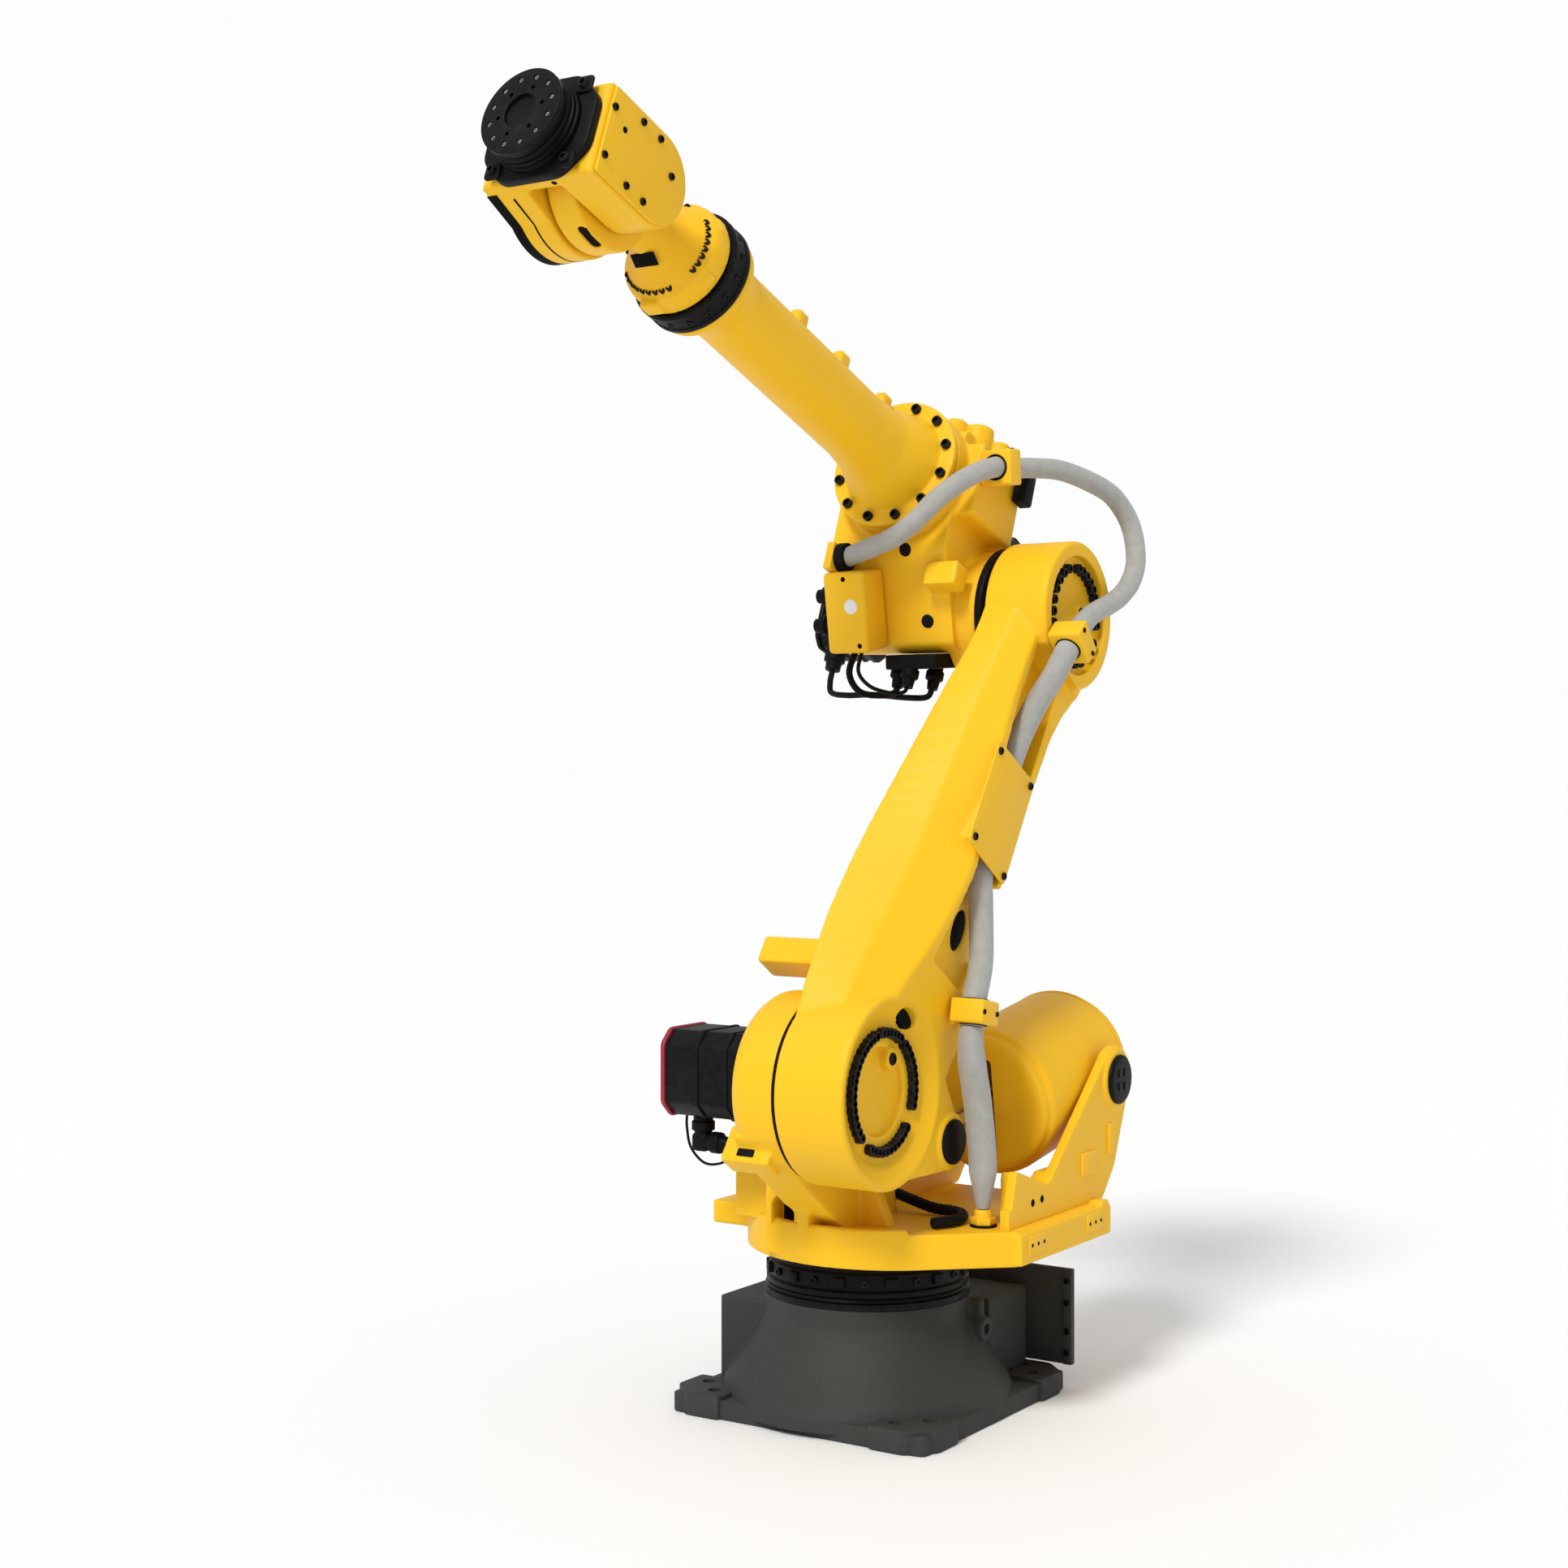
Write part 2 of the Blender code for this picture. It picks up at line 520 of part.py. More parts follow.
# ---- wrist --------------------------------------------------------------------------------
def ellipse(x, half_y, half_z, count=24):
    turn = [2 * math.pi * i / count for i in range(count)]
    return [(x, half_y * math.cos(t), half_z * math.sin(t)) for t in turn]


def build_wrist(bend, mats):
    """Everything past the forearm, in the frame of the wrist's bend axis."""
    rear = -FOREARM_LENGTH
    sections = (ellipse(rear + 1.056, 0.098, 0.098), ellipse(rear + 1.090, 0.098, 0.098),
                ellipse(rear + 1.105, 0.090, 0.090), ellipse(rear + 1.165, 0.036, 0.046),
                ellipse(rear + 1.185, 0.028, 0.042), ellipse(rear + 1.260, 0.027, 0.042))
    wrist = add("wrist_casting", loft_mesh(sections), bend, mats["yellow"])
    join(wrist, rod_mesh("Y", -0.0275, 0.0275, 0.113, sides=44))

    half = 0.084
    left = arc((0.0, 0.0), 0.118, 60, 300, 26) + [(0.155, -half), (0.155, half)]
    right = arc((0.0, 0.0), half, 90, 270, 20) + [(0.155, -half), (0.155, half)]
    fork = add("wrist_fork", box_mesh((0.034, 0.225, 2 * half), (0.138, 0.0, 0.0), 0.006), bend,
               mats["yellow"])
    join(fork, plate_mesh(left, "Y", -0.115, -0.034), plate_mesh(right, "Y", 0.034, 0.114))
    tongue = arc((0.0, 0.0), 0.079, 90, 270, 20) + [(0.138, -0.079), (0.138, 0.079)]
    add("tongue_cover", plate_mesh(tongue, "Y", 0.1143, 0.121), bend, mats["yellow"])
    corner, side = 0.045, 0.094
    octagon = [(sy * a, sz * b) for sy, sz, order in ((1, 1, 1), (-1, 1, -1), (-1, -1, 1),
                                                      (1, -1, -1))
               for a, b in ((side + 0.016, corner), (corner + 0.016, side))[::order]]
    add("reducer_plate", plate_mesh(octagon, "X", 0.1553, 0.176), bend, mats["black"])
    add("reducer", rod_mesh("X", 0.1763, 0.200, 0.084, sides=44), bend, mats["black"])
    flange = add("tool_flange", rod_mesh("X", 0.206, FLANGE_REACH, 0.080, sides=44), bend,
                 mats["black"])
    cut(flange, rod_mesh("X", FLANGE_REACH - 0.006, FLANGE_REACH + 0.05, 0.031, sides=32))


# ---- the whole arm ------------------------------------------------------------------------
def along(pitch):
    """The forward and upward unit vectors of a frame turned about Y by pitch degrees."""
    turn = Matrix.Rotation(math.radians(pitch), 3, "Y")
    return turn @ Vector((1, 0, 0)), turn @ Vector((0, 0, 1))


def build():
    mats = {
        "yellow": material("arm_yellow", YELLOW, 0.35),
        "grey": material("base_grey", GREY, 0.5),
        "black": material("black_finish", BLACK, 0.4),
        "red": material("cap_red", RED, 0.45),
        "hose": material("hose_grey", HOSE_GREY, 0.6),
        "steel": material("bright_steel", (0.6, 0.6, 0.6, 1.0), 0.25, 1.0),
    }
    shoulder = Vector((SHOULDER_X, 0.0, SHOULDER_Z))
    arm_front, arm_up = along(ARM_LEAN)
    elbow_place = shoulder + ARM_LENGTH * arm_up
    forward, upward = along(-FOREARM_PITCH)
    bend_place = elbow_place + ELBOW_RISE * upward + FOREARM_LENGTH * forward

    swing_place = Vector(TRUNNION)
    pin_place = shoulder - PIN_BACK * arm_front + PIN_UP * arm_up
    pin_place.y = swing_place.y
    reach = pin_place - swing_place
    swing_pitch = -math.degrees(math.atan2(reach.z, reach.x))

    world = frame("slew_frame", (0, 0, 0))
    arm = frame("shoulder_frame", shoulder, ARM_LEAN)
    elbow = frame("elbow_frame", elbow_place, -FOREARM_PITCH)
    bend = frame("bend_frame", bend_place, -FOREARM_PITCH)
    swing = frame("balancer_frame", swing_place, swing_pitch)
    pin = frame("pin_frame", pin_place, swing_pitch)
    bpy.context.view_layer.update()

    build_base(world, mats)
    build_turret(world, mats)
    build_lower_arm(arm, mats)
    build_balancer(swing, pin, mats)
    build_forearm(elbow, mats)
    build_wrist(bend, mats)
    hose_run((("hose_base", world, BASE_HOSE), ("hose_lower_arm", arm, ARM_HOSE),
              ("hose_elbow_loop", world, LOOP_HOSE), ("hose_forearm", elbow, FOREARM_HOSE)),
             HOSE_RADIUS, world, mats["hose"])


clear_scene()
PARTS = new_collection("industrial_robot_arm")
CUTTERS = new_collection("cutters")
build()
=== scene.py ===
"""Looks of the six-axis industrial robot arm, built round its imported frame.

Metres, +Z up. The origin is on the floor, on the slewing axis; +X is the way the arm faces
and +Y its left side. Every sub-assembly is a class that holds its own sizes, builds its
pieces in the axes of one joint, and sets each piece on the body that carries it.
"""

import json
import logging
import math
from dataclasses import dataclass
from enum import Enum
from typing import Iterable, Optional, Sequence, Union

import bmesh
import bpy
from mathutils import Matrix, Vector, noise


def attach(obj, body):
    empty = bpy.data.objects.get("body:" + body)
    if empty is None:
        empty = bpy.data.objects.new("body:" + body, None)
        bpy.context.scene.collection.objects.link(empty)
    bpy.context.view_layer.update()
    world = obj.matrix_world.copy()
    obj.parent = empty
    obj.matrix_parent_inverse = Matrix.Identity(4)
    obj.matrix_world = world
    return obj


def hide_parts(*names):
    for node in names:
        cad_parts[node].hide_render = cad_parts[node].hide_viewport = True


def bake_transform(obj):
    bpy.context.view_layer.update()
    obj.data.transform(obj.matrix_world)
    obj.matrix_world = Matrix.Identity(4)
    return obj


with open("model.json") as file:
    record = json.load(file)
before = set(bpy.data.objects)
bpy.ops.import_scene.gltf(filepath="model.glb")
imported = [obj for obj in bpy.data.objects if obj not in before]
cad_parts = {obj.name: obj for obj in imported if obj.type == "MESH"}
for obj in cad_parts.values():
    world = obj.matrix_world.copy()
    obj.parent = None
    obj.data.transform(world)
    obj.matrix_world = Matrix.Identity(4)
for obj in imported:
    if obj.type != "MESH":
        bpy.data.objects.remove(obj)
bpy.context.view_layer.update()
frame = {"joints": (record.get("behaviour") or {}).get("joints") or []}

LOG = logging.getLogger("robot_arm")

Point2 = tuple[float, float]
Point3 = tuple[float, float, float]
Value = Union[float, tuple, bpy.types.NodeSocket]


class Body(Enum):
    """The moving bodies that a piece can ride on."""

    BASE = "base"
    TURRET = "turret"
    LOWER_ARM = "lower_arm"
    FOREARM = "forearm"
    WRIST_ROLL = "wrist_roll"
    WRIST_BEND = "wrist_bend"
    TOOL_FLANGE = "tool_flange"
    BALANCER_CYLINDER = "balancer_cylinder"
    BALANCER_ROD = "balancer_rod"


class Look(Enum):
    """The finishes of the arm; the value is the material's name."""

    YELLOW = "yellow_enamel"
    GREY = "grey_base_paint"
    BLACK = "black_painted_metal"
    OXIDE = "black_oxide_steel"
    PLASTIC = "black_plastic"
    RED = "red_cap_paint"
    STEEL = "bright_steel"
    SLEEVE = "woven_hose_sleeve"
    LABEL = "white_plastic"
    # Near-black painted as the shade inside holes and openings, and the colour of the wrist's
    # black tag and arc strip.
    HOLE_SHADE_AND_BLACK_MARKS = "painted_hole_shade_and_black_marks"


CORNERS = tuple((u, v) for u in (1, -1) for v in (1, -1))
TWELVE = tuple(15 + 30 * i for i in range(12))   # degrees, on a circle of twelve
SHARP = math.radians(35.0)                       # edges sharper than this stay crisp
WHITE = (1.0, 1.0, 1.0, 1.0)


# ---- working frames -----------------------------------------------------------------------
def rotation(degrees: float, axis: str = "Y") -> Matrix:
    """A turn about an axis."""
    return Matrix.Rotation(math.radians(degrees), 4, axis)


@dataclass(frozen=True)
class Place:
    """A working frame: a point, and a turn about Y in degrees."""

    origin: Point3 = (0.0, 0.0, 0.0)
    pitch: float = 0.0

    @property
    def matrix(self) -> Matrix:
        """The frame as a matrix into the model's own axes."""
        return Matrix.Translation(self.origin) @ rotation(self.pitch)

    def at(self, point: Sequence[float]) -> Vector:
        """A point of this frame, in the model's own axes."""
        return self.matrix @ Vector(point)


def joint(name: str, field: str = "pos_m") -> Vector:
    """A joint's origin at rest, or its axis, in the model's axes."""
    return Vector(next(j[field] for j in frame["joints"] if j["name"] == name))


def arm_places() -> dict[str, Place]:
    """The working frames of the arm, found from its joints.

    Returns:
        One Place for the world, lower arm, elbow, wrist, balancer and balancer pin.
    """
    shoulder, elbow = joint("shoulder"), joint("elbow")
    lean = (elbow - shoulder).normalized()
    forward = joint("wrist_roll", "axis")
    swing, pin = joint("balancer_swing"), joint("balancer_pivot")
    reach = pin - swing
    rise = -math.degrees(math.atan2(forward.z, forward.x))
    tilt = -math.degrees(math.atan2(reach.z, reach.x))
    return {
        "world": Place(),
        "arm": Place(tuple(shoulder), math.degrees(math.atan2(lean.x, lean.z))),
        "elbow": Place(tuple(elbow), rise),
        "bend": Place(tuple(joint("wrist_bend")), rise),
        "swing": Place(tuple(swing), tilt),
        "pin": Place(tuple(pin), tilt),
    }


# ---- outlines -----------------------------------------------------------------------------
def arc(centre: Point2, radius: float, start: float, end: float, steps: int = 16) -> list[Point2]:
    """Points on an arc, both ends included.

    Args:
        centre: the arc's centre.
        radius: its radius.
        start: first angle in degrees.
        end: last angle in degrees.
        steps: how many chords.

    Returns:
        The points in order.
    """
    turns = [math.radians(start + (end - start) * i / steps) for i in range(steps + 1)]
    return [(centre[0] + radius * math.cos(t), centre[1] + radius * math.sin(t)) for t in turns]


def oval(centre: Point2, half_u: float, half_v: float, steps: int = 32) -> list[Point2]:
    """Points round an ellipse."""
    turns = [2 * math.pi * i / steps for i in range(steps)]
    return [(centre[0] + half_u * math.cos(t), centre[1] + half_v * math.sin(t)) for t in turns]


def fillet(outline: Sequence[Point2], radius: float, steps: int = 4,
           closed: bool = True) -> list[Point2]:
    """Round the corners of an outline.

    Args:
        outline: its corners in order.
        radius: how far back from each corner the rounding starts.
        steps: chords in each rounded corner.
        closed: False for a profile whose two ends stay as they are.

    Returns:
        The rounded outline.
    """
    rounded: list[Point2] = []
    count = len(outline)
    for i, corner in enumerate(outline):
        if not closed and i in (0, count - 1):
            rounded.append(tuple(corner))
            continue
        here = Vector(corner)
        back = Vector(outline[i - 1]) - here
        ahead = Vector(outline[(i + 1) % count]) - here
        start = here + back.normalized() * min(radius, 0.45 * back.length)
        end = here + ahead.normalized() * min(radius, 0.45 * ahead.length)
        for k in range(steps + 1):
            t = k / steps
            rounded.append(tuple(start * (1 - t) ** 2 + here * 2 * t * (1 - t) + end * t * t))
    return rounded


def route_length(route: Sequence[Vector]) -> float:
    """How long a route is."""
    return sum((b - a).length for a, b in zip(route, route[1:]))


def smooth_route(points: Sequence[Vector], per_span: int) -> list[Vector]:
    """A smooth curve through points.

    Args:
        points: the points in order.
        per_span: steps between each two.

    Returns:
        The finer route.
    """
    ends = [points[0] * 2 - points[1], *points, points[-1] * 2 - points[-2]]
    route = []
    for a, b, c, d in zip(ends, ends[1:], ends[2:], ends[3:]):
        for i in range(per_span):
            t = i / per_span
            route.append(0.5 * (2 * b + (c - a) * t + (2 * a - 5 * b + 4 * c - d) * t * t
                                + (3 * b - 3 * c + d - a) * t ** 3))
    return route + [points[-1]]


# ---- shapes -------------------------------------------------------------------------------
TURN_TO = {
    "X": rotation(90),
    "Y": rotation(-90, "X"),
    "Z": Matrix.Identity(4),
}


def place_on(axis: str, u: float, v: float, height: float) -> Point3:
    """The point at (u, v) of the plane across an axis, at a height along it."""
    return {"X": (height, u, v), "Y": (u, height, v), "Z": (u, v, height)}[axis]


def to_mesh(bm: bmesh.types.BMesh) -> bpy.types.Mesh:
    """A mesh of this bmesh, which is freed."""
    mesh = bpy.data.meshes.new("shape")
    bm.to_mesh(mesh)
    bm.free()
    return mesh


def closed_mesh(bm: bmesh.types.BMesh) -> bpy.types.Mesh:
    """A mesh of this bmesh, its faces turned outward; the bmesh is freed."""
    bmesh.ops.recalc_face_normals(bm, faces=bm.faces)
    return to_mesh(bm)


def build_walls(bm: bmesh.types.BMesh, low: Sequence, high: Sequence) -> None:
    """Quads between two rings of as many vertices."""
    for i in range(len(low)):
        j = (i + 1) % len(low)
        bm.faces.new((low[i], low[j], high[j], high[i]))


def block(size: Point3, centre: Point3 = (0.0, 0.0, 0.0), edge: float = 0.0,
          turn: Optional[Matrix] = None) -> bpy.types.Mesh:
    """A block with rounded edges.

    Args:
        size: its three sides.
        centre: its middle.
        edge: radius of its edges, 0 for sharp.
        turn: a rotation about its middle.

    Returns:
        The closed mesh.
    """
    bm = bmesh.new()
    bmesh.ops.create_cube(bm, size=1.0)
    bmesh.ops.scale(bm, vec=size, verts=bm.verts)
    if edge:
        bmesh.ops.bevel(bm, geom=bm.edges[:], offset=edge, segments=3, profile=0.5,
                        affect="EDGES")
    if turn is not None:
        bmesh.ops.transform(bm, matrix=turn, verts=bm.verts)
    bmesh.ops.translate(bm, vec=centre, verts=bm.verts)
    return closed_mesh(bm)


def lathe(profile: Sequence[Point2], axis: str, centre: Point3 = (0.0, 0.0, 0.0),
          sides: int = 96) -> bpy.types.Mesh:
    """A solid of revolution.

    Args:
        profile: (radius, height) from one end to the other; both ends at radius 0, or
            neither, for a ring.
        axis: X, Y or Z.
        centre: where the axis passes.
        sides: steps round it.

    Returns:
        The closed mesh.
    """
    bm = bmesh.new()
    turns = [2 * math.pi * i / sides for i in range(sides)]
    rings = []
    for radius, height in profile:
        if radius < 1e-6:
            rings.append([bm.verts.new((0, 0, height))])
        else:
            rings.append([bm.verts.new((radius * math.cos(t), radius * math.sin(t), height))
                          for t in turns])
    pairs = list(zip(rings, rings[1:]))
    if len(rings[0]) > 1:
        pairs.append((rings[-1], rings[0]))
    for low, high in pairs:
        for i in range(sides):
            j = (i + 1) % sides
            corners = [low[i % len(low)], low[j % len(low)], high[j % len(high)],
                       high[i % len(high)]]
            face = list(dict.fromkeys(corners))
            if len(face) > 2:
                bm.faces.new(face)
    bmesh.ops.transform(bm, matrix=Matrix.Translation(centre) @ TURN_TO[axis], verts=bm.verts)
    return closed_mesh(bm)


def turned(profile: Sequence[Point2], soft: float, steps: int, axis: str,
           centre: Point3 = (0.0, 0.0, 0.0), sides: int = 96) -> bpy.types.Mesh:
    """A solid of revolution whose corners are rounded first."""
    return lathe(fillet(profile, soft, steps, closed=False), axis, centre, sides)


def rod(axis: str, start: float, end: float, radius: float, centre: Point2 = (0.0, 0.0),
        edge: float = 0.0, sides: int = 96, steps: int = 3) -> bpy.types.Mesh:
    """A round bar along an axis, with rounded rims.

    Args:
        axis: X, Y or Z.
        start: where it starts along the axis.
        end: where it ends.
        radius: its radius.
        centre: its place in the other two axes.
        edge: rounding of its rims, 0 for sharp.
        sides: steps round it.
        steps: chords in the rounding.

    Returns:
        The closed mesh.
    """
    profile = [(0.0, end), (radius, end), (radius, start), (0.0, start)]
    if edge:
        profile = fillet(profile, edge, steps, closed=False)
    return lathe(profile, axis, place_on(axis, *centre, 0.0), sides)


def ring(axis: str, start: float, end: float, inner: float, outer: float,
         centre: Point2 = (0.0, 0.0), edge: float = 0.001, sides: int = 64) -> bpy.types.Mesh:
    """A flat ring or collar along an axis, with rounded rims."""
    profile = fillet([(inner, start), (outer, start), (outer, end), (inner, end)], edge, 2)
    return lathe(profile, axis, place_on(axis, *centre, 0.0), sides)


def plate(outline: Sequence[Point2], axis: str, start: float, end: float,
          edge: float = 0.0) -> bpy.types.Mesh:
    """A flat outline given thickness along an axis.

    Args:
        outline: its corners: (x, y), (x, z) or (y, z).
        axis: the axis across it.
        start: one face's place along the axis.
        end: the other's.
        edge: rounding of its rims, 0 for sharp.

    Returns:
        The closed mesh.
    """
    bm = bmesh.new()
    low = [bm.verts.new(place_on(axis, u, v, start)) for u, v in outline]
    high = [bm.verts.new(place_on(axis, u, v, end)) for u, v in outline]
    bm.faces.new(low)
    bm.faces.new(high)
    build_walls(bm, low, high)
    bmesh.ops.recalc_face_normals(bm, faces=bm.faces)
    if edge:
        rims = [e for e in bm.edges if (e.verts[0] in low) == (e.verts[1] in low)]
        bmesh.ops.bevel(bm, geom=rims, offset=edge, segments=2, profile=0.5, affect="EDGES",
                        clamp_overlap=True)
    return closed_mesh(bm)


def loft(sections: Sequence[Sequence[Point3]]) -> bpy.types.Mesh:
    """A closed skin through rings of equal count, capped at both ends."""
    bm = bmesh.new()
    rings = [[bm.verts.new(p) for p in section] for section in sections]
    for low, high in zip(rings, rings[1:]):
        build_walls(bm, low, high)
    bm.faces.new(rings[0])
    bm.faces.new(rings[-1])
    return closed_mesh(bm)


def tube(route: Sequence[Vector], radii: Union[float, Sequence[float]],
         sides: int = 20) -> bpy.types.Mesh:
    """A round tube along a route, with a UV map in metres along and round it.

    Args:
        route: the centreline.
        radii: one radius, or one for each point.
        sides: steps round it.

    Returns:
        The closed mesh.
    """
    sizes = [radii] * len(route) if isinstance(radii, float) else list(radii)
    bm = bmesh.new()
    layer = bm.loops.layers.uv.new("UVMap")
    across = None
    rings, lengths = [], [0.0]
    for i, (point, size) in enumerate(zip(route, sizes)):
        ahead = (route[min(i + 1, len(route) - 1)] - route[max(i - 1, 0)]).normalized()
        if across is None:
            across = ahead.orthogonal().normalized()
        across = (across - ahead * across.dot(ahead)).normalized()
        other = ahead.cross(across)
        turns = [2 * math.pi * k / sides for k in range(sides)]
        rings.append([bm.verts.new(point + (across * math.cos(t) + other * math.sin(t)) * size)
                      for t in turns])
        if i:
            lengths.append(lengths[-1] + (point - route[i - 1]).length)
    girth = 2 * math.pi * max(sizes)
    for n, (low, high) in enumerate(zip(rings, rings[1:])):
        for k in range(sides):
            j = (k + 1) % sides
            face = bm.faces.new((low[k], low[j], high[j], high[k]))
            around = (k * girth / sides, (k + 1) * girth / sides)
            spots = ((lengths[n], around[0]), (lengths[n], around[1]),
                     (lengths[n + 1], around[1]), (lengths[n + 1], around[0]))
            for loop, spot in zip(face.loops, spots):
                loop[layer].uv = spot
    bm.faces.new(rings[0])
    bm.faces.new(rings[-1])
    return closed_mesh(bm)


def copies(mesh: bpy.types.Mesh, spots: Iterable[Matrix]) -> bpy.types.Mesh:
    """One mesh holding a copy of another at each spot; the first is used up."""
    bm = bmesh.new()
    for spot in spots:
        fresh = mesh.copy()
        fresh.transform(spot)
        bm.from_mesh(fresh)
        bpy.data.meshes.remove(fresh)
    bpy.data.meshes.remove(mesh)
    return to_mesh(bm)


def together(*meshes: bpy.types.Mesh) -> bpy.types.Mesh:
    """Several meshes kept side by side in one."""
    bm = bmesh.new()
    for mesh in meshes:
        bm.from_mesh(mesh)
        bpy.data.meshes.remove(mesh)
    return to_mesh(bm)


# ---- fasteners ----------------------------------------------------------------------------
def cap_screw(radius: float, height: float) -> bpy.types.Mesh:
    """A socket-head cap screw's head, standing on Z = 0.

    Args:
        radius: of the head.
        height: of the head.

    Returns:
        The closed mesh, its hexagon socket sunk into the top.
    """
    sides, break_edge, key = 24, 0.12 * radius, 0.55 * radius
    turns = [2 * math.pi * i / sides for i in range(sides)]

    def circle(size: float, level: float) -> list[Point3]:
        """A round ring of points."""
        return [(size * math.cos(t), size * math.sin(t), level) for t in turns]

    def hexagon(level: float) -> list[Point3]:
        """A ring of points on the socket's six flats."""
        sizes = [key / math.cos((t + math.pi / 6) % (math.pi / 3) - math.pi / 6) for t in turns]
        return [(s * math.cos(t), s * math.sin(t), level) for s, t in zip(sizes, turns)]

    return loft([circle(radius, -0.001), circle(radius, height - break_edge),
                 circle(radius - break_edge, height), hexagon(height), hexagon(0.45 * height)])


def plug(radius: float, height: float) -> bpy.types.Mesh:
    """A low domed plug, standing on Z = 0."""
    profile = [(0.0, height), (0.55 * radius, height * 0.96), (0.88 * radius, height * 0.7),
               (radius, height * 0.25), (radius, -0.001), (0.0, -0.001)]
    return lathe(profile, "Z", sides=24)


def stud(axis: str, u: float, v: float, height: float, back: bool = False) -> Matrix:
    """A spot for a fastener: its +Z goes along the axis, or against it with back."""
    turn = TURN_TO[axis]
    if back:
        turn = turn @ Matrix.Rotation(math.pi, 4, "X")
    return Matrix.Translation(place_on(axis, u, v, height)) @ turn


def studs_round(axis: str, radius: float, height: float, angles: Iterable[float],
                centre: Point2 = (0.0, 0.0)) -> list[Matrix]:
    """Spots for fasteners on a bolt circle.

    Args:
        axis: the circle's axis.
        radius: the circle's radius.
        height: its place along the axis.
        angles: in degrees, from the first of the other two axes to the second.
        centre: the circle's centre.

    Returns:
        One matrix for each fastener.
    """
    turns = [math.radians(angle) for angle in angles]
    return [stud(axis, centre[0] + radius * math.cos(t), centre[1] + radius * math.sin(t), height)
            for t in turns]


def spread(arcs: Iterable[tuple[float, float, int]]) -> list[float]:
    """Evenly spaced values over each arc of (start, end, count), both its ends included."""
    return [start + (end - start) * i / (count - 1)
            for start, end, count in arcs for i in range(count)]


# ---- castings -----------------------------------------------------------------------------
def in_scene(name: str, data: bpy.types.ID) -> bpy.types.Object:
    """A new object of this data, in the scene."""
    obj = bpy.data.objects.new(name, data)
    bpy.context.scene.collection.objects.link(obj)
    return obj


class Casting:
    """A body made by joining and cutting shapes, then softened as a mould leaves it."""

    def __init__(self, first: bpy.types.Mesh) -> None:
        """Start from one closed shape."""
        self._obj = in_scene("scratch", first)
        self._tools: list[bpy.types.Object] = []

    def _step(self, operation: str, shape: bpy.types.Mesh) -> None:
        """One Boolean step with a closed shape."""
        tool = in_scene("scratch", shape)
        step = self._obj.modifiers.new(operation, "BOOLEAN")
        step.operation = operation
        step.solver = "MANIFOLD"
        step.object = tool
        self._tools.append(tool)

    def add(self, *shapes: bpy.types.Mesh) -> "Casting":
        """Join closed shapes to the body."""
        for shape in shapes:
            self._step("UNION", shape)
        return self

    def cut(self, *shapes: bpy.types.Mesh) -> "Casting":
        """Cut closed shapes from the body."""
        for shape in shapes:
            self._step("DIFFERENCE", shape)
        return self

    def _take(self) -> bpy.types.Mesh:
        """The body's mesh; the working objects are removed."""
        graph = bpy.context.evaluated_depsgraph_get()
        mesh = bpy.data.meshes.new_from_object(self._obj.evaluated_get(graph))
        for obj in (self._obj, *self._tools):
            bpy.data.objects.remove(obj, do_unlink=True)
        return mesh

    def cast(self, voxel: float, keep: float = 0.38, soften: int = 3) -> bpy.types.Mesh:
        """Round every edge and corner as in a sand casting.

        Args:
            voxel: the size of detail that is kept.
            keep: the share of the faces kept at the end.
            soften: smoothing passes; each rounds the edges further.

        Returns:
            The softened mesh.
        """
        skin = self._obj.modifiers.new("Skin", "REMESH")
        skin.mode = "VOXEL"
        skin.voxel_size = voxel
        smooth = self._obj.modifiers.new("Soften", "SMOOTH")
        smooth.factor = 0.5
        smooth.iterations = soften
        thin = self._obj.modifiers.new("Thin", "DECIMATE")
        thin.ratio = keep
        return self._take()

    def machined(self) -> bpy.types.Mesh:
        """Keep the edges crisp."""
        return self._take()


# ---- node groups --------------------------------------------------------------------------
def feed(tree: bpy.types.NodeTree, node: bpy.types.Node, feeds: dict) -> None:
    """Give a node's sockets, by name or number, a value or the socket that feeds them."""
    for key, value in feeds.items():
        if isinstance(value, bpy.types.NodeSocket):
            tree.links.new(value, node.inputs[key])
        else:
            node.inputs[key].default_value = value


def add_node(tree: bpy.types.NodeTree, kind: str, feeds: Optional[dict] = None,
             **settings: object) -> bpy.types.Node:
    """Add a node and set it up.

    Args:
        tree: the node tree.
        kind: the node's type name.
        feeds: socket name or number to a value, or to the socket that feeds it.
        settings: properties of the node itself.

    Returns:
        The node.
    """
    made = tree.nodes.new(kind)
    for name, value in settings.items():
        setattr(made, name, value)
    feed(tree, made, feeds or {})
    return made


def arithmetic(tree: bpy.types.NodeTree, operation: str, a: Value, b: Value = 0.0,
               clamp: bool = False) -> bpy.types.NodeSocket:
    """One step of arithmetic on two values; returns the socket with the result."""
    made = add_node(tree, "ShaderNodeMath", {0: a, 1: b}, operation=operation, use_clamp=clamp)
    return made.outputs[0]


def remap(tree: bpy.types.NodeTree, value: Value, low: float, high: float, to_low: Value,
          to_high: Value) -> bpy.types.NodeSocket:
    """A value moved from one range to another and held inside it."""
    made = add_node(tree, "ShaderNodeMapRange", {"Value": value, "From Min": low,
                                                 "From Max": high, "To Min": to_low,
                                                 "To Max": to_high})
    return made.outputs["Result"]


def broken_mask(tree: bpy.types.NodeTree, mask: Value, breakup: Value,
           amount: Value) -> bpy.types.NodeSocket:
    """A mask broken up and scaled, held between 0 and 1."""
    return arithmetic(tree, "MULTIPLY", arithmetic(tree, "MULTIPLY", mask, breakup), amount,
                      clamp=True)


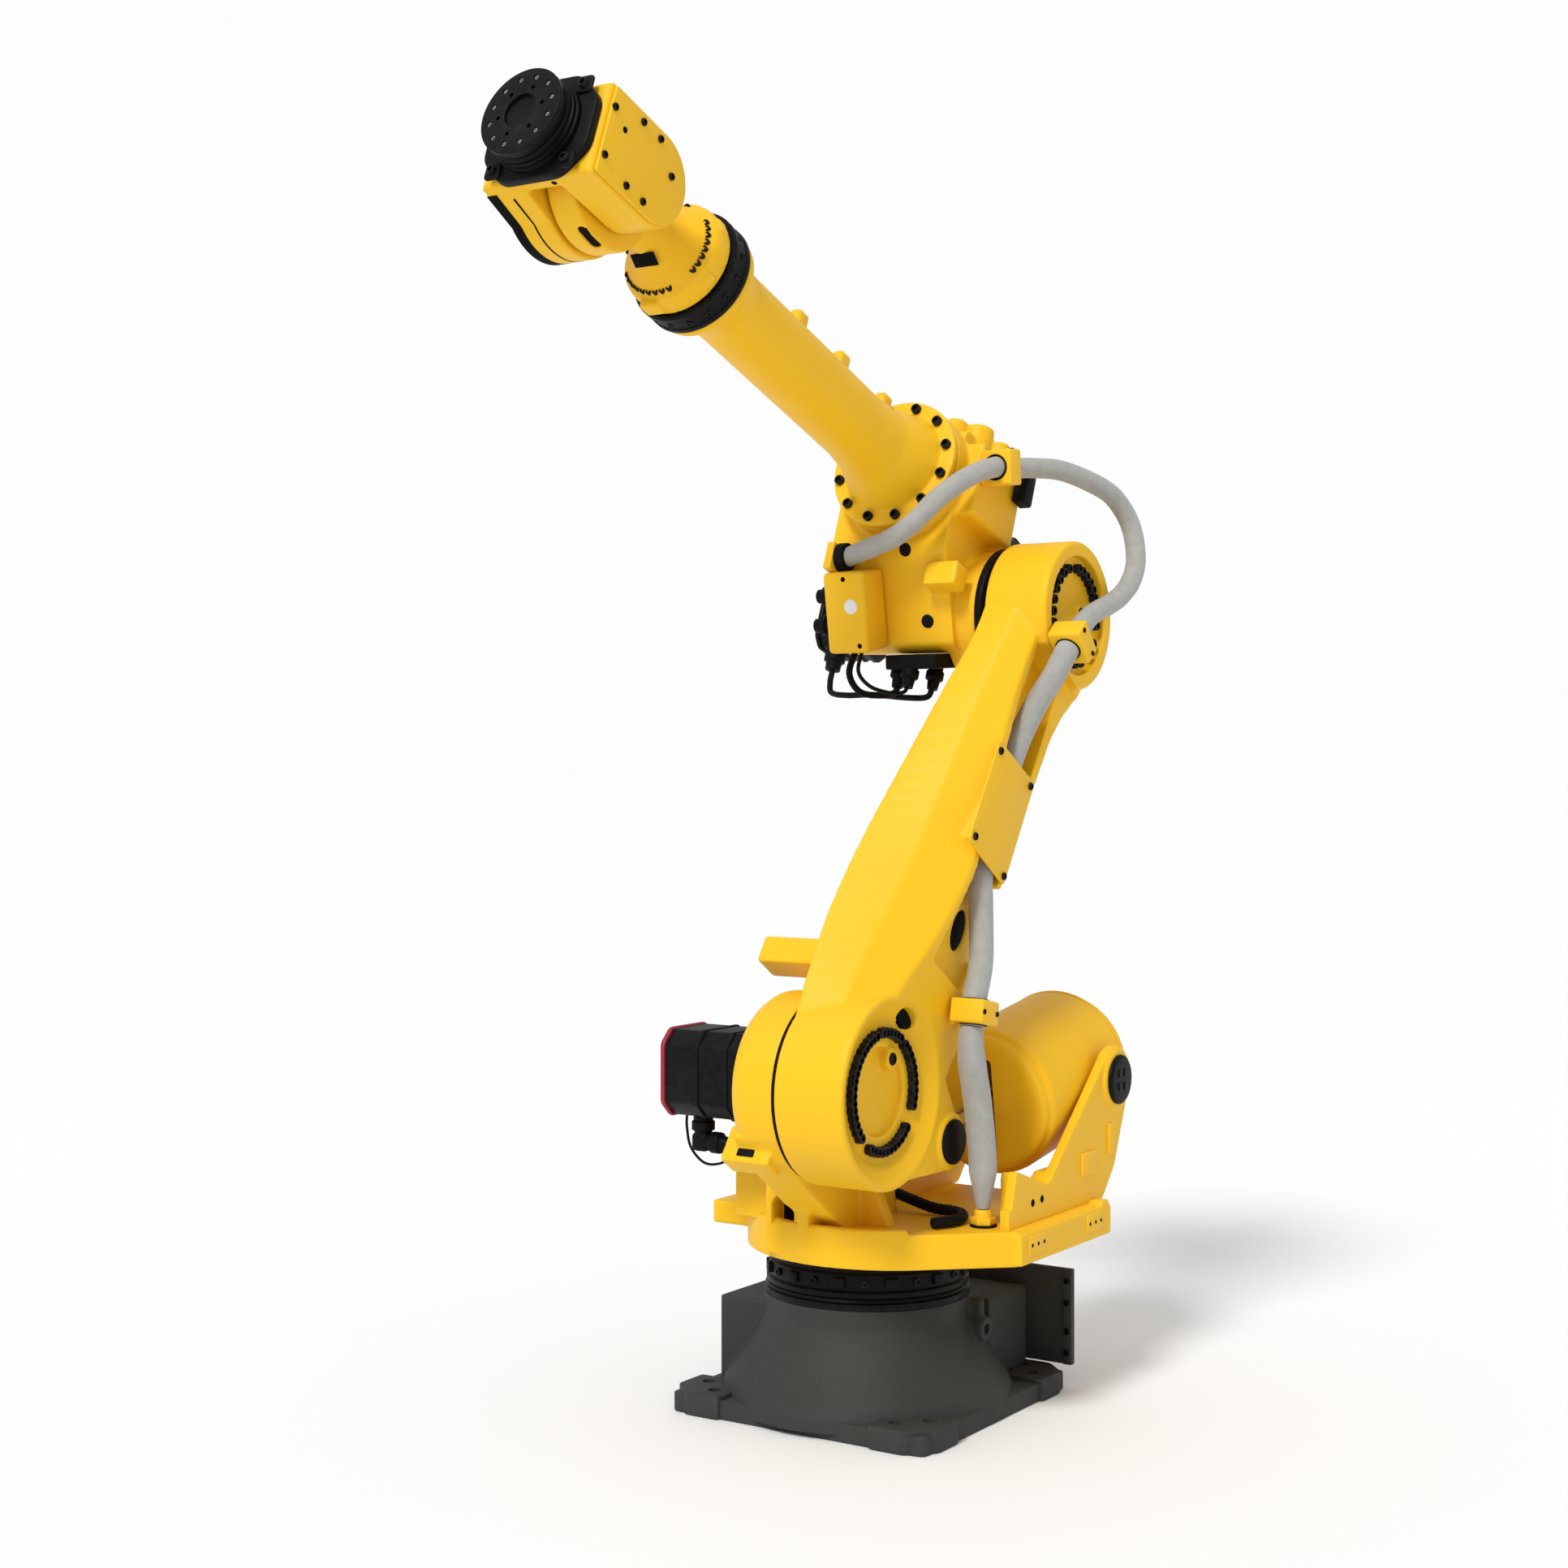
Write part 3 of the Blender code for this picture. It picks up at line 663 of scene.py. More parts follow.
def noise_of(tree: bpy.types.NodeTree, where: Value, scale: Value, detail: float = 2.0,
             rough: float = 0.5) -> bpy.types.NodeSocket:
    """A noise value from 0 to 1 at this scale."""
    made = add_node(tree, "ShaderNodeTexNoise", {"Vector": where, "Scale": scale,
                                                 "Detail": detail, "Roughness": rough})
    return made.outputs["Fac"]


def new_group(name: str, takes: dict[str, float],
              gives: Sequence[str]) -> tuple[bpy.types.NodeTree, dict, bpy.types.Node]:
    """Start a shader node group.

    Args:
        name: the group's name.
        takes: its number inputs and their defaults.
        gives: its number outputs.

    Returns:
        The tree, its input sockets by name, and its output node.
    """
    tree = bpy.data.node_groups.new(name, "ShaderNodeTree")
    for label, default in takes.items():
        socket = tree.interface.new_socket(label, in_out="INPUT", socket_type="NodeSocketFloat")
        socket.default_value = default
    for label in gives:
        tree.interface.new_socket(label, in_out="OUTPUT", socket_type="NodeSocketFloat")
    start = tree.nodes.new("NodeGroupInput")
    end = tree.nodes.new("NodeGroupOutput")
    return tree, {s.name: s for s in start.outputs if s.name}, end


def skin_group() -> bpy.types.NodeTree:
    """Orange peel and fine grain of a painted or cast surface, with a slow mottle."""
    tree, takes, end = new_group("painted_skin", {"Peel": 120.0, "Grain": 700.0, "Blend": 0.3},
                                 ("Height", "Mottle"))
    where = tree.nodes.new("ShaderNodeTexCoord").outputs["Object"]
    peel = noise_of(tree, where, takes["Peel"], 1.5)
    grain = noise_of(tree, where, takes["Grain"], 3.0, 0.65)
    rest = arithmetic(tree, "SUBTRACT", 1.0, takes["Blend"])
    height = arithmetic(tree, "ADD", arithmetic(tree, "MULTIPLY", peel, rest),
                        arithmetic(tree, "MULTIPLY", grain, takes["Blend"]))
    slow = noise_of(tree, where, 3.2, 5.0, 0.6)
    feed(tree, end, {"Height": height, "Mottle": slow})
    return tree


def edge_highlight_group() -> bpy.types.NodeTree:
    """A painted highlight on edges: a mask that follows sharp convex edges, broken up by noise."""
    tree, takes, end = new_group("painted_edge_highlight", {"Amount": 0.5, "Breakup": 60.0}, ("Mask",))
    geometry = tree.nodes.new("ShaderNodeNewGeometry")
    where = tree.nodes.new("ShaderNodeTexCoord").outputs["Object"]
    edge = remap(tree, geometry.outputs["Pointiness"], 0.52, 0.62, 0.0, 1.0)
    broken = remap(tree, noise_of(tree, where, takes["Breakup"], 4.0, 0.6), 0.38, 0.62, 0.0, 1.0)
    feed(tree, end, {"Mask": broken_mask(tree, edge, broken, takes["Amount"])})
    return tree


def dust_group() -> bpy.types.NodeTree:
    """Dust that settles on faces that look up, thicker in patches."""
    tree, takes, end = new_group("settled_dust", {"Amount": 0.3, "Patch": 9.0}, ("Mask",))
    texture = tree.nodes.new("ShaderNodeTexCoord")
    split = add_node(tree, "ShaderNodeSeparateXYZ", {0: texture.outputs["Normal"]})
    up = remap(tree, split.outputs["Z"], 0.45, 0.98, 0.0, 1.0)
    patch = remap(tree, noise_of(tree, texture.outputs["Object"], takes["Patch"], 6.0, 0.65),
                  0.35, 0.75, 0.15, 1.0)
    feed(tree, end, {"Mask": broken_mask(tree, up, patch, takes["Amount"])})
    return tree


def weave_group() -> bpy.types.NodeTree:
    """A plain weave on the UV map: thread height and a light and dark tone."""
    tree, takes, end = new_group("plain_weave", {"Threads": 260.0}, ("Height", "Tone"))
    spot = tree.nodes.new("ShaderNodeUVMap").outputs["UV"]
    split = add_node(tree, "ShaderNodeSeparateXYZ", {0: spot})
    waves = []
    for label in ("X", "Y"):
        turn = arithmetic(tree, "MULTIPLY", split.outputs[label], takes["Threads"])
        waves.append(arithmetic(tree, "SINE", arithmetic(tree, "MULTIPLY", turn, 2 * math.pi)))
    crossed = arithmetic(tree, "MULTIPLY", waves[0], waves[1])
    height = remap(tree, crossed, -1.0, 1.0, 0.0, 1.0)
    stray = noise_of(tree, spot, 45.0, 4.0, 0.6)
    tone = arithmetic(tree, "MULTIPLY", stray, remap(tree, height, 0, 1, 0.75, 1.0))
    feed(tree, end, {"Height": height, "Tone": tone})
    return tree


class Effects:
    """The shader node groups, each made once and shared by the materials."""

    def __init__(self) -> None:
        """Build every group."""
        self.skin = skin_group()
        # painted highlight on convex edges
        self.edge_highlight = edge_highlight_group()
        self.dust = dust_group()
        self.weave = weave_group()

    @staticmethod
    def use(tree: bpy.types.NodeTree, group: bpy.types.NodeTree,
            values: dict[str, float]) -> bpy.types.Node:
        """Place a group in a material with its own values."""
        return add_node(tree, "ShaderNodeGroup", values, node_tree=group)


# ---- finishes -----------------------------------------------------------------------------
Colour = tuple[float, float, float]


def opaque(colour: Colour) -> tuple[float, float, float, float]:
    """A colour with full alpha."""
    return (*colour, 1.0)


def blend_colours(tree: bpy.types.NodeTree, factor: Value, a: Value,
                  b: Value) -> bpy.types.NodeSocket:
    """Two colours mixed by a factor; returns the socket with the result."""
    made = add_node(tree, "ShaderNodeMix", {"Factor": factor, 6: a, 7: b}, data_type="RGBA",
                    blend_type="MIX")
    return made.outputs[2]


def new_material(name: str) -> tuple[bpy.types.Material, bpy.types.NodeTree, bpy.types.Node]:
    """A material, its node tree and its shader."""
    mat = bpy.data.materials.new(name)
    mat.use_nodes = True
    return mat, mat.node_tree, mat.node_tree.nodes["Principled BSDF"]


@dataclass(frozen=True)
class Coating:
    """A painted, plated or moulded finish with peel, grain, a painted highlight on convex edges,
    and dust.
    """

    look: Look
    colour: Colour
    shade: Colour                   # what the mottle drifts towards
    roughness: tuple[float, float]  # smoothest and roughest patches
    metallic: float = 0.0
    coat: float = 0.0
    specular: float = 0.5
    peel: float = 120.0
    grain: float = 700.0
    grain_share: float = 0.3
    relief: float = 0.0002
    highlight_colour: Colour = (0.3, 0.3, 0.3)  # lighter colour painted on convex edges as a highlight
    # how strongly the painted edge highlight shows
    edge_highlight: float = 0.2
    dust: float = 0.1
    dust_colour: Colour = (0.42, 0.38, 0.32)

    def material(self, effects: Effects) -> bpy.types.Material:
        """Build the finish's material.

        Args:
            effects: the shared node groups.

        Returns:
            The material.
        """
        mat, tree, shader = new_material(self.look.value)
        skin = effects.use(tree, effects.skin, {"Peel": self.peel, "Grain": self.grain,
                                                "Blend": self.grain_share})
        # A lighter colour painted on convex edges as a highlight.
        edge_lit = effects.use(tree, effects.edge_highlight, {"Amount": self.edge_highlight})
        dusty = effects.use(tree, effects.dust, {"Amount": self.dust})
        drift = remap(tree, skin.outputs["Mottle"], 0.3, 0.7, 0.0, 1.0)
        colour = blend_colours(tree, drift, opaque(self.colour), opaque(self.shade))
        colour = blend_colours(tree, edge_lit.outputs["Mask"], colour, opaque(self.highlight_colour))
        colour = blend_colours(tree, dusty.outputs["Mask"], colour, opaque(self.dust_colour))
        rough = remap(tree, skin.outputs["Mottle"], 0.3, 0.7, *self.roughness)
        rough = arithmetic(tree, "ADD", rough,
                           arithmetic(tree, "MULTIPLY", dusty.outputs["Mask"], 0.35), clamp=True)
        bump = add_node(tree, "ShaderNodeBump", {"Height": skin.outputs["Height"],
                                                 "Distance": self.relief, "Strength": 1.0})
        feed(tree, shader, {"Base Color": colour, "Roughness": rough,
                            "Normal": bump.outputs["Normal"], "Metallic": self.metallic,
                            "Coat Weight": self.coat, "Coat Roughness": 0.12,
                            "Specular IOR Level": self.specular})
        return mat


@dataclass(frozen=True)
class Sleeve:
    """A woven fabric sleeve over a hose."""

    look: Look
    light: Colour
    dark: Colour
    threads: float = 260.0
    relief: float = 0.0006
    sheen: float = 0.25

    def material(self, effects: Effects) -> bpy.types.Material:
        """Build the sleeve's material from the shared node groups."""
        mat, tree, shader = new_material(self.look.value)
        weave = effects.use(tree, effects.weave, {"Threads": self.threads})
        dusty = effects.use(tree, effects.dust, {"Amount": 0.25, "Patch": 18.0})
        tone = remap(tree, weave.outputs["Tone"], 0.25, 0.65, 0.0, 1.0)
        colour = blend_colours(tree, tone, opaque(self.dark), opaque(self.light))
        colour = blend_colours(tree, dusty.outputs["Mask"], colour, (0.5, 0.48, 0.44, 1.0))
        rough = remap(tree, weave.outputs["Height"], 0.0, 1.0, 0.8, 0.6)
        bump = add_node(tree, "ShaderNodeBump", {"Height": weave.outputs["Height"],
                                                 "Distance": self.relief, "Strength": 0.8})
        feed(tree, shader, {"Base Color": colour, "Roughness": rough,
                            "Normal": bump.outputs["Normal"], "Sheen Weight": self.sheen,
                            "Sheen Roughness": 0.5})
        return mat


# The edge colour of each coating is a painted highlight, lighter than its own colour.
FINISHES = (
    Coating(Look.YELLOW, (0.87, 0.505, 0.011), (0.85, 0.48, 0.010), (0.42, 0.52),
            specular=0.22, highlight_colour=(0.95, 0.68, 0.12), edge_highlight=0.25, dust=0.03, relief=0.00022),
    Coating(Look.GREY, (0.046, 0.046, 0.043), (0.038, 0.038, 0.036), (0.55, 0.68),
            specular=0.14, peel=70.0, grain=420.0, grain_share=0.55, relief=0.0008,
            highlight_colour=(0.075, 0.075, 0.072), edge_highlight=0.3, dust=0.02, dust_colour=(0.10, 0.10, 0.095)),
    Coating(Look.BLACK, (0.0026, 0.0028, 0.0032), (0.0038, 0.0040, 0.0045), (0.38, 0.50),
            specular=0.10, highlight_colour=(0.030, 0.030, 0.032), edge_highlight=0.4, dust=0.03, relief=0.0003,
            dust_colour=(0.03, 0.03, 0.03)),
    Coating(Look.OXIDE, (0.0030, 0.0030, 0.0034), (0.0045, 0.0045, 0.0050), (0.36, 0.50),
            specular=0.12, highlight_colour=(0.06, 0.06, 0.065), edge_highlight=0.5, dust=0.02, relief=0.0002,
            dust_colour=(0.03, 0.03, 0.03)),
    Coating(Look.PLASTIC, (0.0030, 0.0030, 0.0034), (0.0045, 0.0045, 0.0050), (0.46, 0.58),
            specular=0.10, peel=300.0, highlight_colour=(0.02, 0.02, 0.02), edge_highlight=0.2, dust=0.03,
            dust_colour=(0.03, 0.03, 0.03)),
    Coating(Look.RED, (0.30, 0.015, 0.030), (0.25, 0.012, 0.024), (0.38, 0.48), specular=0.35,
            highlight_colour=(0.45, 0.10, 0.10), edge_highlight=0.3, dust=0.03),
    Coating(Look.STEEL, (0.62, 0.62, 0.60), (0.50, 0.50, 0.49), (0.18, 0.34), metallic=1.0,
            highlight_colour=(0.8, 0.8, 0.78), edge_highlight=0.4, dust=0.0, relief=0.00012),
    Coating(Look.LABEL, (0.80, 0.81, 0.82), (0.74, 0.75, 0.76), (0.32, 0.42), coat=0.3,
            highlight_colour=(0.85, 0.85, 0.85), edge_highlight=0.1, dust=0.02),
    # Painted shade for holes and openings; also the colour of the wrist's black tag and arc strip.
    Coating(Look.HOLE_SHADE_AND_BLACK_MARKS, (0.0040, 0.0040, 0.0040), (0.0060, 0.0060, 0.0060), (0.6, 0.8),
            specular=0.05, edge_highlight=0.0, highlight_colour=(0.03, 0.03, 0.03), dust=0.0),
    Sleeve(Look.SLEEVE, (0.39, 0.39, 0.365), (0.32, 0.32, 0.30)),
)
MATERIALS: dict[Look, bpy.types.Material] = {}


# ---- pieces -------------------------------------------------------------------------------
@dataclass
class SubAssembly:
    """A group of pieces made in one working frame and carried by one body."""

    place: Place
    body: Body

    def make(self, name: str, mesh: bpy.types.Mesh, look: Look, *replaces: str,
             body: Optional[Body] = None, place: Optional[Place] = None) -> bpy.types.Object:
        """Finish one piece and set it on its body.

        Args:
            name: the piece's name.
            mesh: its mesh, in this sub-assembly's frame.
            look: its finish.
            replaces: the CAD nodes that it stands for.
            body: its body, if not the sub-assembly's own.
            place: its frame, if not the sub-assembly's own.

        Returns:
            The piece.
        """
        obj = dress(name, mesh, look, place or self.place)
        carrier = body or self.body
        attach(obj, carrier.value)
        if replaces:
            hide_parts(*replaces)
        LOG.info("%s: %d faces, rides on %s", name, len(mesh.polygons), carrier.value)
        return obj

    def screws(self, name: str, radius: float, height: float, spots: Iterable[Matrix],
               look: Look = Look.OXIDE, body: Optional[Body] = None) -> bpy.types.Object:
        """A set of cap screws as one piece."""
        return self.make(name, copies(cap_screw(radius, height), spots), look, body=body)

    def plugs(self, name: str, radius: float, height: float, spots: Iterable[Matrix],
              look: Look = Look.HOLE_SHADE_AND_BLACK_MARKS) -> bpy.types.Object:
        """A set of low domed plugs as one piece; in the default finish they are dark discs painted
        as the shade inside holes.
        """
        return self.make(name, copies(plug(radius, height), spots), look)

    def lead(self, name: str, points: Sequence[Point3], radius: float, sides: int = 14) -> None:
        """A black cable through points."""
        route = smooth_route([Vector(p) for p in points], 6)
        self.make(name, tube(route, radius, sides), Look.PLASTIC)
        LOG.info("%s: %.3f m long", name, route_length(route))

    def build(self) -> None:
        """Build every piece of the sub-assembly."""
        raise NotImplementedError


def dress(name: str, mesh: bpy.types.Mesh, look: Look, place: Place) -> bpy.types.Object:
    """An object of this mesh with its shading and material.

    Args:
        name: the object's name.
        mesh: its mesh, in the place's frame.
        look: its finish.
        place: the frame it was made in.

    Returns:
        The object, not yet on a body.
    """
    mesh.name = name
    mesh.transform(place.matrix)
    mesh.shade_smooth()
    mesh.set_sharp_from_angle(angle=SHARP)
    mesh.materials.clear()
    mesh.materials.append(MATERIALS[look])
    obj = in_scene(name, mesh)
    return obj


# ---- base ---------------------------------------------------------------------------------
@dataclass
class FloorBase(SubAssembly):
    """The fixed base: floor plate, flared column, side box, rear panel and slewing ring."""

    centre_x: float = -0.016
    half: float = 0.300
    plate_top: float = 0.036
    foot_top: float = 0.0445
    column_top: float = 0.225
    hole_radius: float = 0.0135

    def foot(self, sx: int, sy: int) -> bpy.types.Mesh:
        """One corner pad, its outer corner cut off."""
        reach, inner, cut_back = self.half - 0.004, 0.168, 0.048
        corners = [(inner, inner), (reach, inner), (reach, reach - cut_back),
                   (reach - cut_back, reach), (inner, reach)]
        outline = [(self.centre_x + sx * x, sy * y) for x, y in corners[::sx * sy]]
        return plate(fillet(outline, 0.010, 2), "Z", 0.0, self.foot_top, 0.003)

    def foot_holes(self) -> list[Matrix]:
        """Spots of the floor-bolt holes, three in each foot."""
        return [stud("Z", self.centre_x + sx * x, sy * y, 0.0) for sx, sy in CORNERS
                for x, y in ((0.252, 0.205), (0.205, 0.252), (0.198, 0.198))]

    def build_casting(self) -> None:
        """The grey casting that stands on the floor."""
        waist = self.half - 0.013
        square = [(self.centre_x + x, y) for x, y in
                  ((waist, waist), (-waist, waist), (-waist, -waist), (waist, -waist))]
        column = [(0.0, self.column_top), (0.206, self.column_top), (0.206, 0.186),
                  (0.213, 0.166), (0.236, 0.122), (0.262, 0.080), (0.281, 0.056),
                  (0.290, 0.034), (0.290, 0.010), (0.0, 0.010)]
        floor_plate = Casting(plate(fillet(square, 0.020, 3), "Z", 0.0, self.plate_top, 0.002))
        floor_plate.add(*(self.foot(sx, sy) for sx, sy in CORNERS))
        for spot in self.foot_holes():
            hole = rod("Z", 0.012, 0.060, self.hole_radius, sides=32)
            hole.transform(spot)
            floor_plate.cut(hole)
        body = Casting(lathe(column, "Z"))
        body.add(block((0.417, 0.227, 0.170), (-0.0915, -0.1635, 0.115), 0.004),
                 block((0.160, 0.400, 0.170), (-0.220, 0.0, 0.115), 0.004),
                 rod("Y", 0.150, 0.236, 0.024, (-0.062, 0.162), 0.003, 48),
                 block((0.018, 0.044, 0.056), (-0.062, 0.206, 0.192), 0.004),
                 block((0.030, 0.040, 0.045), (0.2055, 0.0, 0.030), 0.006))
        self.make("base_column", together(floor_plate.machined(), body.cast(0.0038, 0.4)),
                  Look.GREY, "base_casting")
        # A dark disc painted as the shade inside the lug's bore.
        self.plugs("base_lug_bore_shade", 0.0110, 0.0012, [stud("Y", -0.062, 0.162, 0.2356)])

    def build_rear_panel(self) -> None:
        """The connector panel behind the base, with its screws."""
        panel = Casting(block((0.012, 0.575, 0.195), (-0.3255, 0.005, 0.141), 0.002))
        panel.add(block((0.016, 0.020, 0.195), (-0.3235, 0.2825, 0.141), 0.002),
                  block((0.016, 0.020, 0.195), (-0.3235, -0.2725, 0.141), 0.002))
        self.make("rear_panel", panel.machined(), Look.GREY, "base_rear_panel")
        edges = [stud("X", y, z, -0.3160) for y in (0.283, -0.2725)
                 for z in (0.068, 0.112, 0.170, 0.214)]
        self.screws("rear_panel_screws", 0.0065, 0.005, edges, Look.BLACK)
        sockets = [place_on("X", y, z, -0.3312) for y in (-0.18, -0.06, 0.06, 0.18)
                   for z in (0.105, 0.180)]
        shell = together(ring("X", -0.006, 0.003, 0.016, 0.024, edge=0.001, sides=32),
                         rod("X", -0.002, 0.003, 0.017, sides=32))
        self.make("rear_sockets", copies(shell, [Matrix.Translation(p) for p in sockets]),
                  Look.PLASTIC)

    def build_slew_ring(self) -> None:
        """The black slewing bearing and its bosses."""
        profile = [(0.0, 0.319), (0.192, 0.319), (0.192, 0.296), (0.196, 0.291), (0.196, 0.262),
                   (0.201, 0.258), (0.201, 0.249), (0.198, 0.2475), (0.201, 0.246),
                   (0.2035, 0.241), (0.2005, 0.239), (0.204, 0.237), (0.204, 0.2255),
                   (0.0, 0.2255)]
        self.make("slewing_ring", lathe(profile, "Z", sides=160), Look.BLACK, "slew_ring")
        boss = block((0.012, 0.026, 0.020), (0.1975, 0.0, 0.277), 0.003)
        turns = [rotation(t, "Z") for t in TWELVE]
        self.make("slewing_ring_bosses", copies(boss, turns), Look.BLACK)
        spots = [turn @ rotation(15, "Z") @ stud("X", 0.0, 0.277, 0.1955)
                 for turn in turns]
        self.screws("slewing_ring_screws", 0.0075, 0.006, spots)

    def build(self) -> None:
        """Build the whole base."""
        self.build_casting()
        self.build_rear_panel()
        self.build_slew_ring()


# ---- turret -------------------------------------------------------------------------------
@dataclass
class Motor:
    """A servo motor along one axis of a sub-assembly: body, end cap, ribs and screws."""

    name: str
    axis: str
    start: float              # mounting face, along the axis
    end: float                # free end of the body
    half: tuple[float, float]
    centre: Point2
    cap: float = 0.012        # thickness of the end cap
    chamfer: float = 0.028

    def outline(self, shrink: float = 0.0) -> list[Point2]:
        """The body's outline, its four corners cut off."""
        hu, hv, c = self.half[0] - shrink, self.half[1] - shrink, self.chamfer
        cu, cv = self.centre
        return [(cu + u, cv + v) for u, v in
                ((hu, hv - c), (hu - c, hv), (c - hu, hv), (-hu, hv - c), (-hu, c - hv),
                 (c - hu, -hv), (hu - c, -hv), (hu, c - hv))]

    def build(self, owner: SubAssembly, cap_look: Look, replaces: Sequence[str],
              cap_replaces: Sequence[str] = ()) -> None:
        """Make the motor's pieces on their sub-assembly.

        Args:
            owner: the sub-assembly that carries the motor.
            cap_look: the finish of the end cap.
            replaces: the CAD nodes that the body stands for.
            cap_replaces: the CAD nodes that the cap stands for.
        """
        way = 1.0 if self.end > self.start else -1.0
        span = abs(self.end - self.start)
        body = plate(fillet(self.outline(0.004), 0.004, 2), self.axis,
                     self.start + way * 0.012, self.end - way * 0.002, 0.002)
        flange = plate(fillet(self.outline(), 0.006, 3), self.axis, self.start,
                       self.start + way * 0.014, 0.002)
        bands = [plate(fillet(self.outline(0.0015), 0.004, 2), self.axis,
                       self.start + way * t * span, self.start + way * (t * span + 0.009), 0.002)
                 for t in (0.30, 0.62)]
        owner.make(f"{self.name}_body", together(body, flange, *bands), Look.BLACK, *replaces)
        cap = plate(fillet(self.outline(0.001), 0.008, 3), self.axis, self.end - way * 0.002,
                    self.end + way * self.cap, 0.003)
        owner.make(f"{self.name}_cap", cap, cap_look, *cap_replaces)
        reach = (self.half[0] - 0.016, self.half[1] - self.chamfer - 0.004)
        spots = [stud(self.axis, self.centre[0] + su * reach[0], self.centre[1] + sv * reach[1],
                      self.end + way * self.cap, way < 0) for su, sv in CORNERS]
        owner.screws(f"{self.name}_screws", 0.006, 0.003, spots)


@dataclass
class Turret(SubAssembly):
    """Everything that slews: table, pedestal, motors and the balancer's frames."""

    table_bottom: float = 0.325
    table_top: float = 0.392
    shoulder: Point2 = (0.312, 0.670)
    trunnion: Point2 = (-0.380, 0.625)
    drum_radius: float = 0.176
    pad_place: Point3 = (0.428, 0.020, 0.560)
    pad_tilt: float = 55.0

    def build_table(self) -> None:
        """The turning table, its rim and the rail along its left side."""
        top = self.table_top
        curve = arc((0.0, 0.05), 0.280, 45, -150, 48)
        outline = [(-0.300, 0.376), (0.083, 0.376)] + curve + [(-0.300, -0.110)]
        casting = Casting(plate(outline, "Z", self.table_bottom, top))
        rim = arc((0.0, 0.05), 0.2805, 38, -48, 30) + arc((0.0, 0.05), 0.262, -48, 38, 30)
        casting.add(plate(rim, "Z", 0.340, 0.402),
                    block((0.085, 0.095, 0.046), (0.075, -0.2475, 0.366), 0.003),
                    block((0.385, 0.030, 0.060), (-0.108, 0.375, 0.357), 0.002),
                    block((0.032, 0.030, 0.050), (-0.275, 0.374, 0.372), 0.002),
                    block((0.040, 0.078, 0.060), (0.252, -0.024, 0.3650), 0.003),
                    block((0.040, 0.026, 0.060), (0.262, 0.0285, 0.3650), 0.003))
        self.make("turning_table", casting.cast(0.0038), Look.YELLOW, "turret_table")
        pads = [block((0.070, 0.006, 0.036), (x, 0.3890, 0.362), 0.002) for x in (0.020, -0.225)]
        self.make("rail_pads", together(*pads), Look.YELLOW)
        # Dark discs painted as the shade inside the pads' holes.
        spots = [stud("Y", x + dx, 0.362, 0.3915) for x in (0.020, -0.225)
                 for dx in (-0.024, 0.0, 0.024)]
        self.plugs("rail_pad_hole_shades", 0.0042, 0.0012, spots)

    def build_pedestal(self) -> None:
        """The casting that holds the shoulder's gear."""
        top = self.table_top
        pillar = [(0.030, top - 0.004), (0.225, top - 0.004), (0.300, 0.440), (0.440, 0.545),
                  (0.470, 0.590), (0.150, 0.740), (0.060, 0.560)]
        casting = Casting(plate(pillar, "Y", -0.003, 0.088))
        drum = turned([(0.0, 0.0965), (self.drum_radius, 0.0965), (self.drum_radius, 0.020),
                       (0.160, -0.004), (0.0, -0.004)], 0.008, 4, "Y",
                      (self.shoulder[0], 0, self.shoulder[1]))
        pocket = block((0.175, 0.165, 0.122), (0.1435, -0.080, top + 0.0573), 0.005)
        tilt = rotation(self.pad_tilt)
        pad = block((0.070, 0.105, 0.050), self.pad_place, 0.003, tilt)
        porch = block((0.102, 0.078, 0.086), (0.221, -0.024, top + 0.039), 0.004)
        rib = block((0.042, 0.026, 0.070), (0.263, 0.0285, top + 0.031), 0.003)
        web = plate([(0.060, top - 0.004), (0.158, top - 0.004), (0.094, 0.530), (0.060, 0.530)],
                    "X", 0.150, 0.175)
        casting.add(drum, pocket, pad, porch, rib, web)
        arch = arc((-0.0235, top + 0.034), 0.025, 0, 180, 16) + [(-0.0485, 0.384), (0.0015, 0.384)]
        casting.cut(plate(arch, "X", 0.227, 0.300))
        self.make("shoulder_housing", casting.cast(0.0036), Look.YELLOW,
                  "shoulder_pedestal")
        # A dark sheet painted as the shade inside the housing's arched opening.
        dark = block((0.004, 0.047, 0.056), (0.2290, -0.0235, top + 0.030), 0.001)
        self.make("housing_opening_shade", dark, Look.HOLE_SHADE_AND_BLACK_MARKS)
        rubber = block((0.052, 0.036, 0.004), (-0.002, 0.0, 0.0258), 0.001)
        rubber.transform(Matrix.Translation(self.pad_place) @ tilt)
        self.make("housing_stop_pad", rubber, Look.PLASTIC)
        seal = ring("Y", 0.0930, 0.0994, 0.150, 0.1740, self.shoulder, 0.001, 128)
        self.make("shoulder_seal", seal, Look.PLASTIC)

    def build_motors(self) -> None:
        """The shoulder and slewing motors."""
        x, z = self.shoulder
        Motor("shoulder_motor", "Y", -0.0030, -0.2130, (0.085, 0.086), (x, 0.682), 0.008).build(
            self, Look.RED, ("shoulder_motor",), ("shoulder_motor_cap",))
        Motor("slew_motor", "Z", self.table_top, 0.610, (0.075, 0.075), (-0.080, -0.080),
              0.012).build(self, Look.BLACK, ("slew_motor",))

    def connector(self, foot: Point3) -> bpy.types.Mesh:
        """A round plug that hangs from a motor: collar, knurled nut and backshell."""
        x, y, z = foot
        radius = 0.020
        profile = [(radius * share, z - down) for share, down in
                   ((0.0, 0.0), (0.95, 0.0), (0.95, 0.008), (1.12, 0.011), (1.12, 0.026),
                    (0.86, 0.029), (0.82, 0.046), (0.66, 0.052), (0.0, 0.054))]
        return lathe(profile, "Z", (x, y, 0.0), 32)

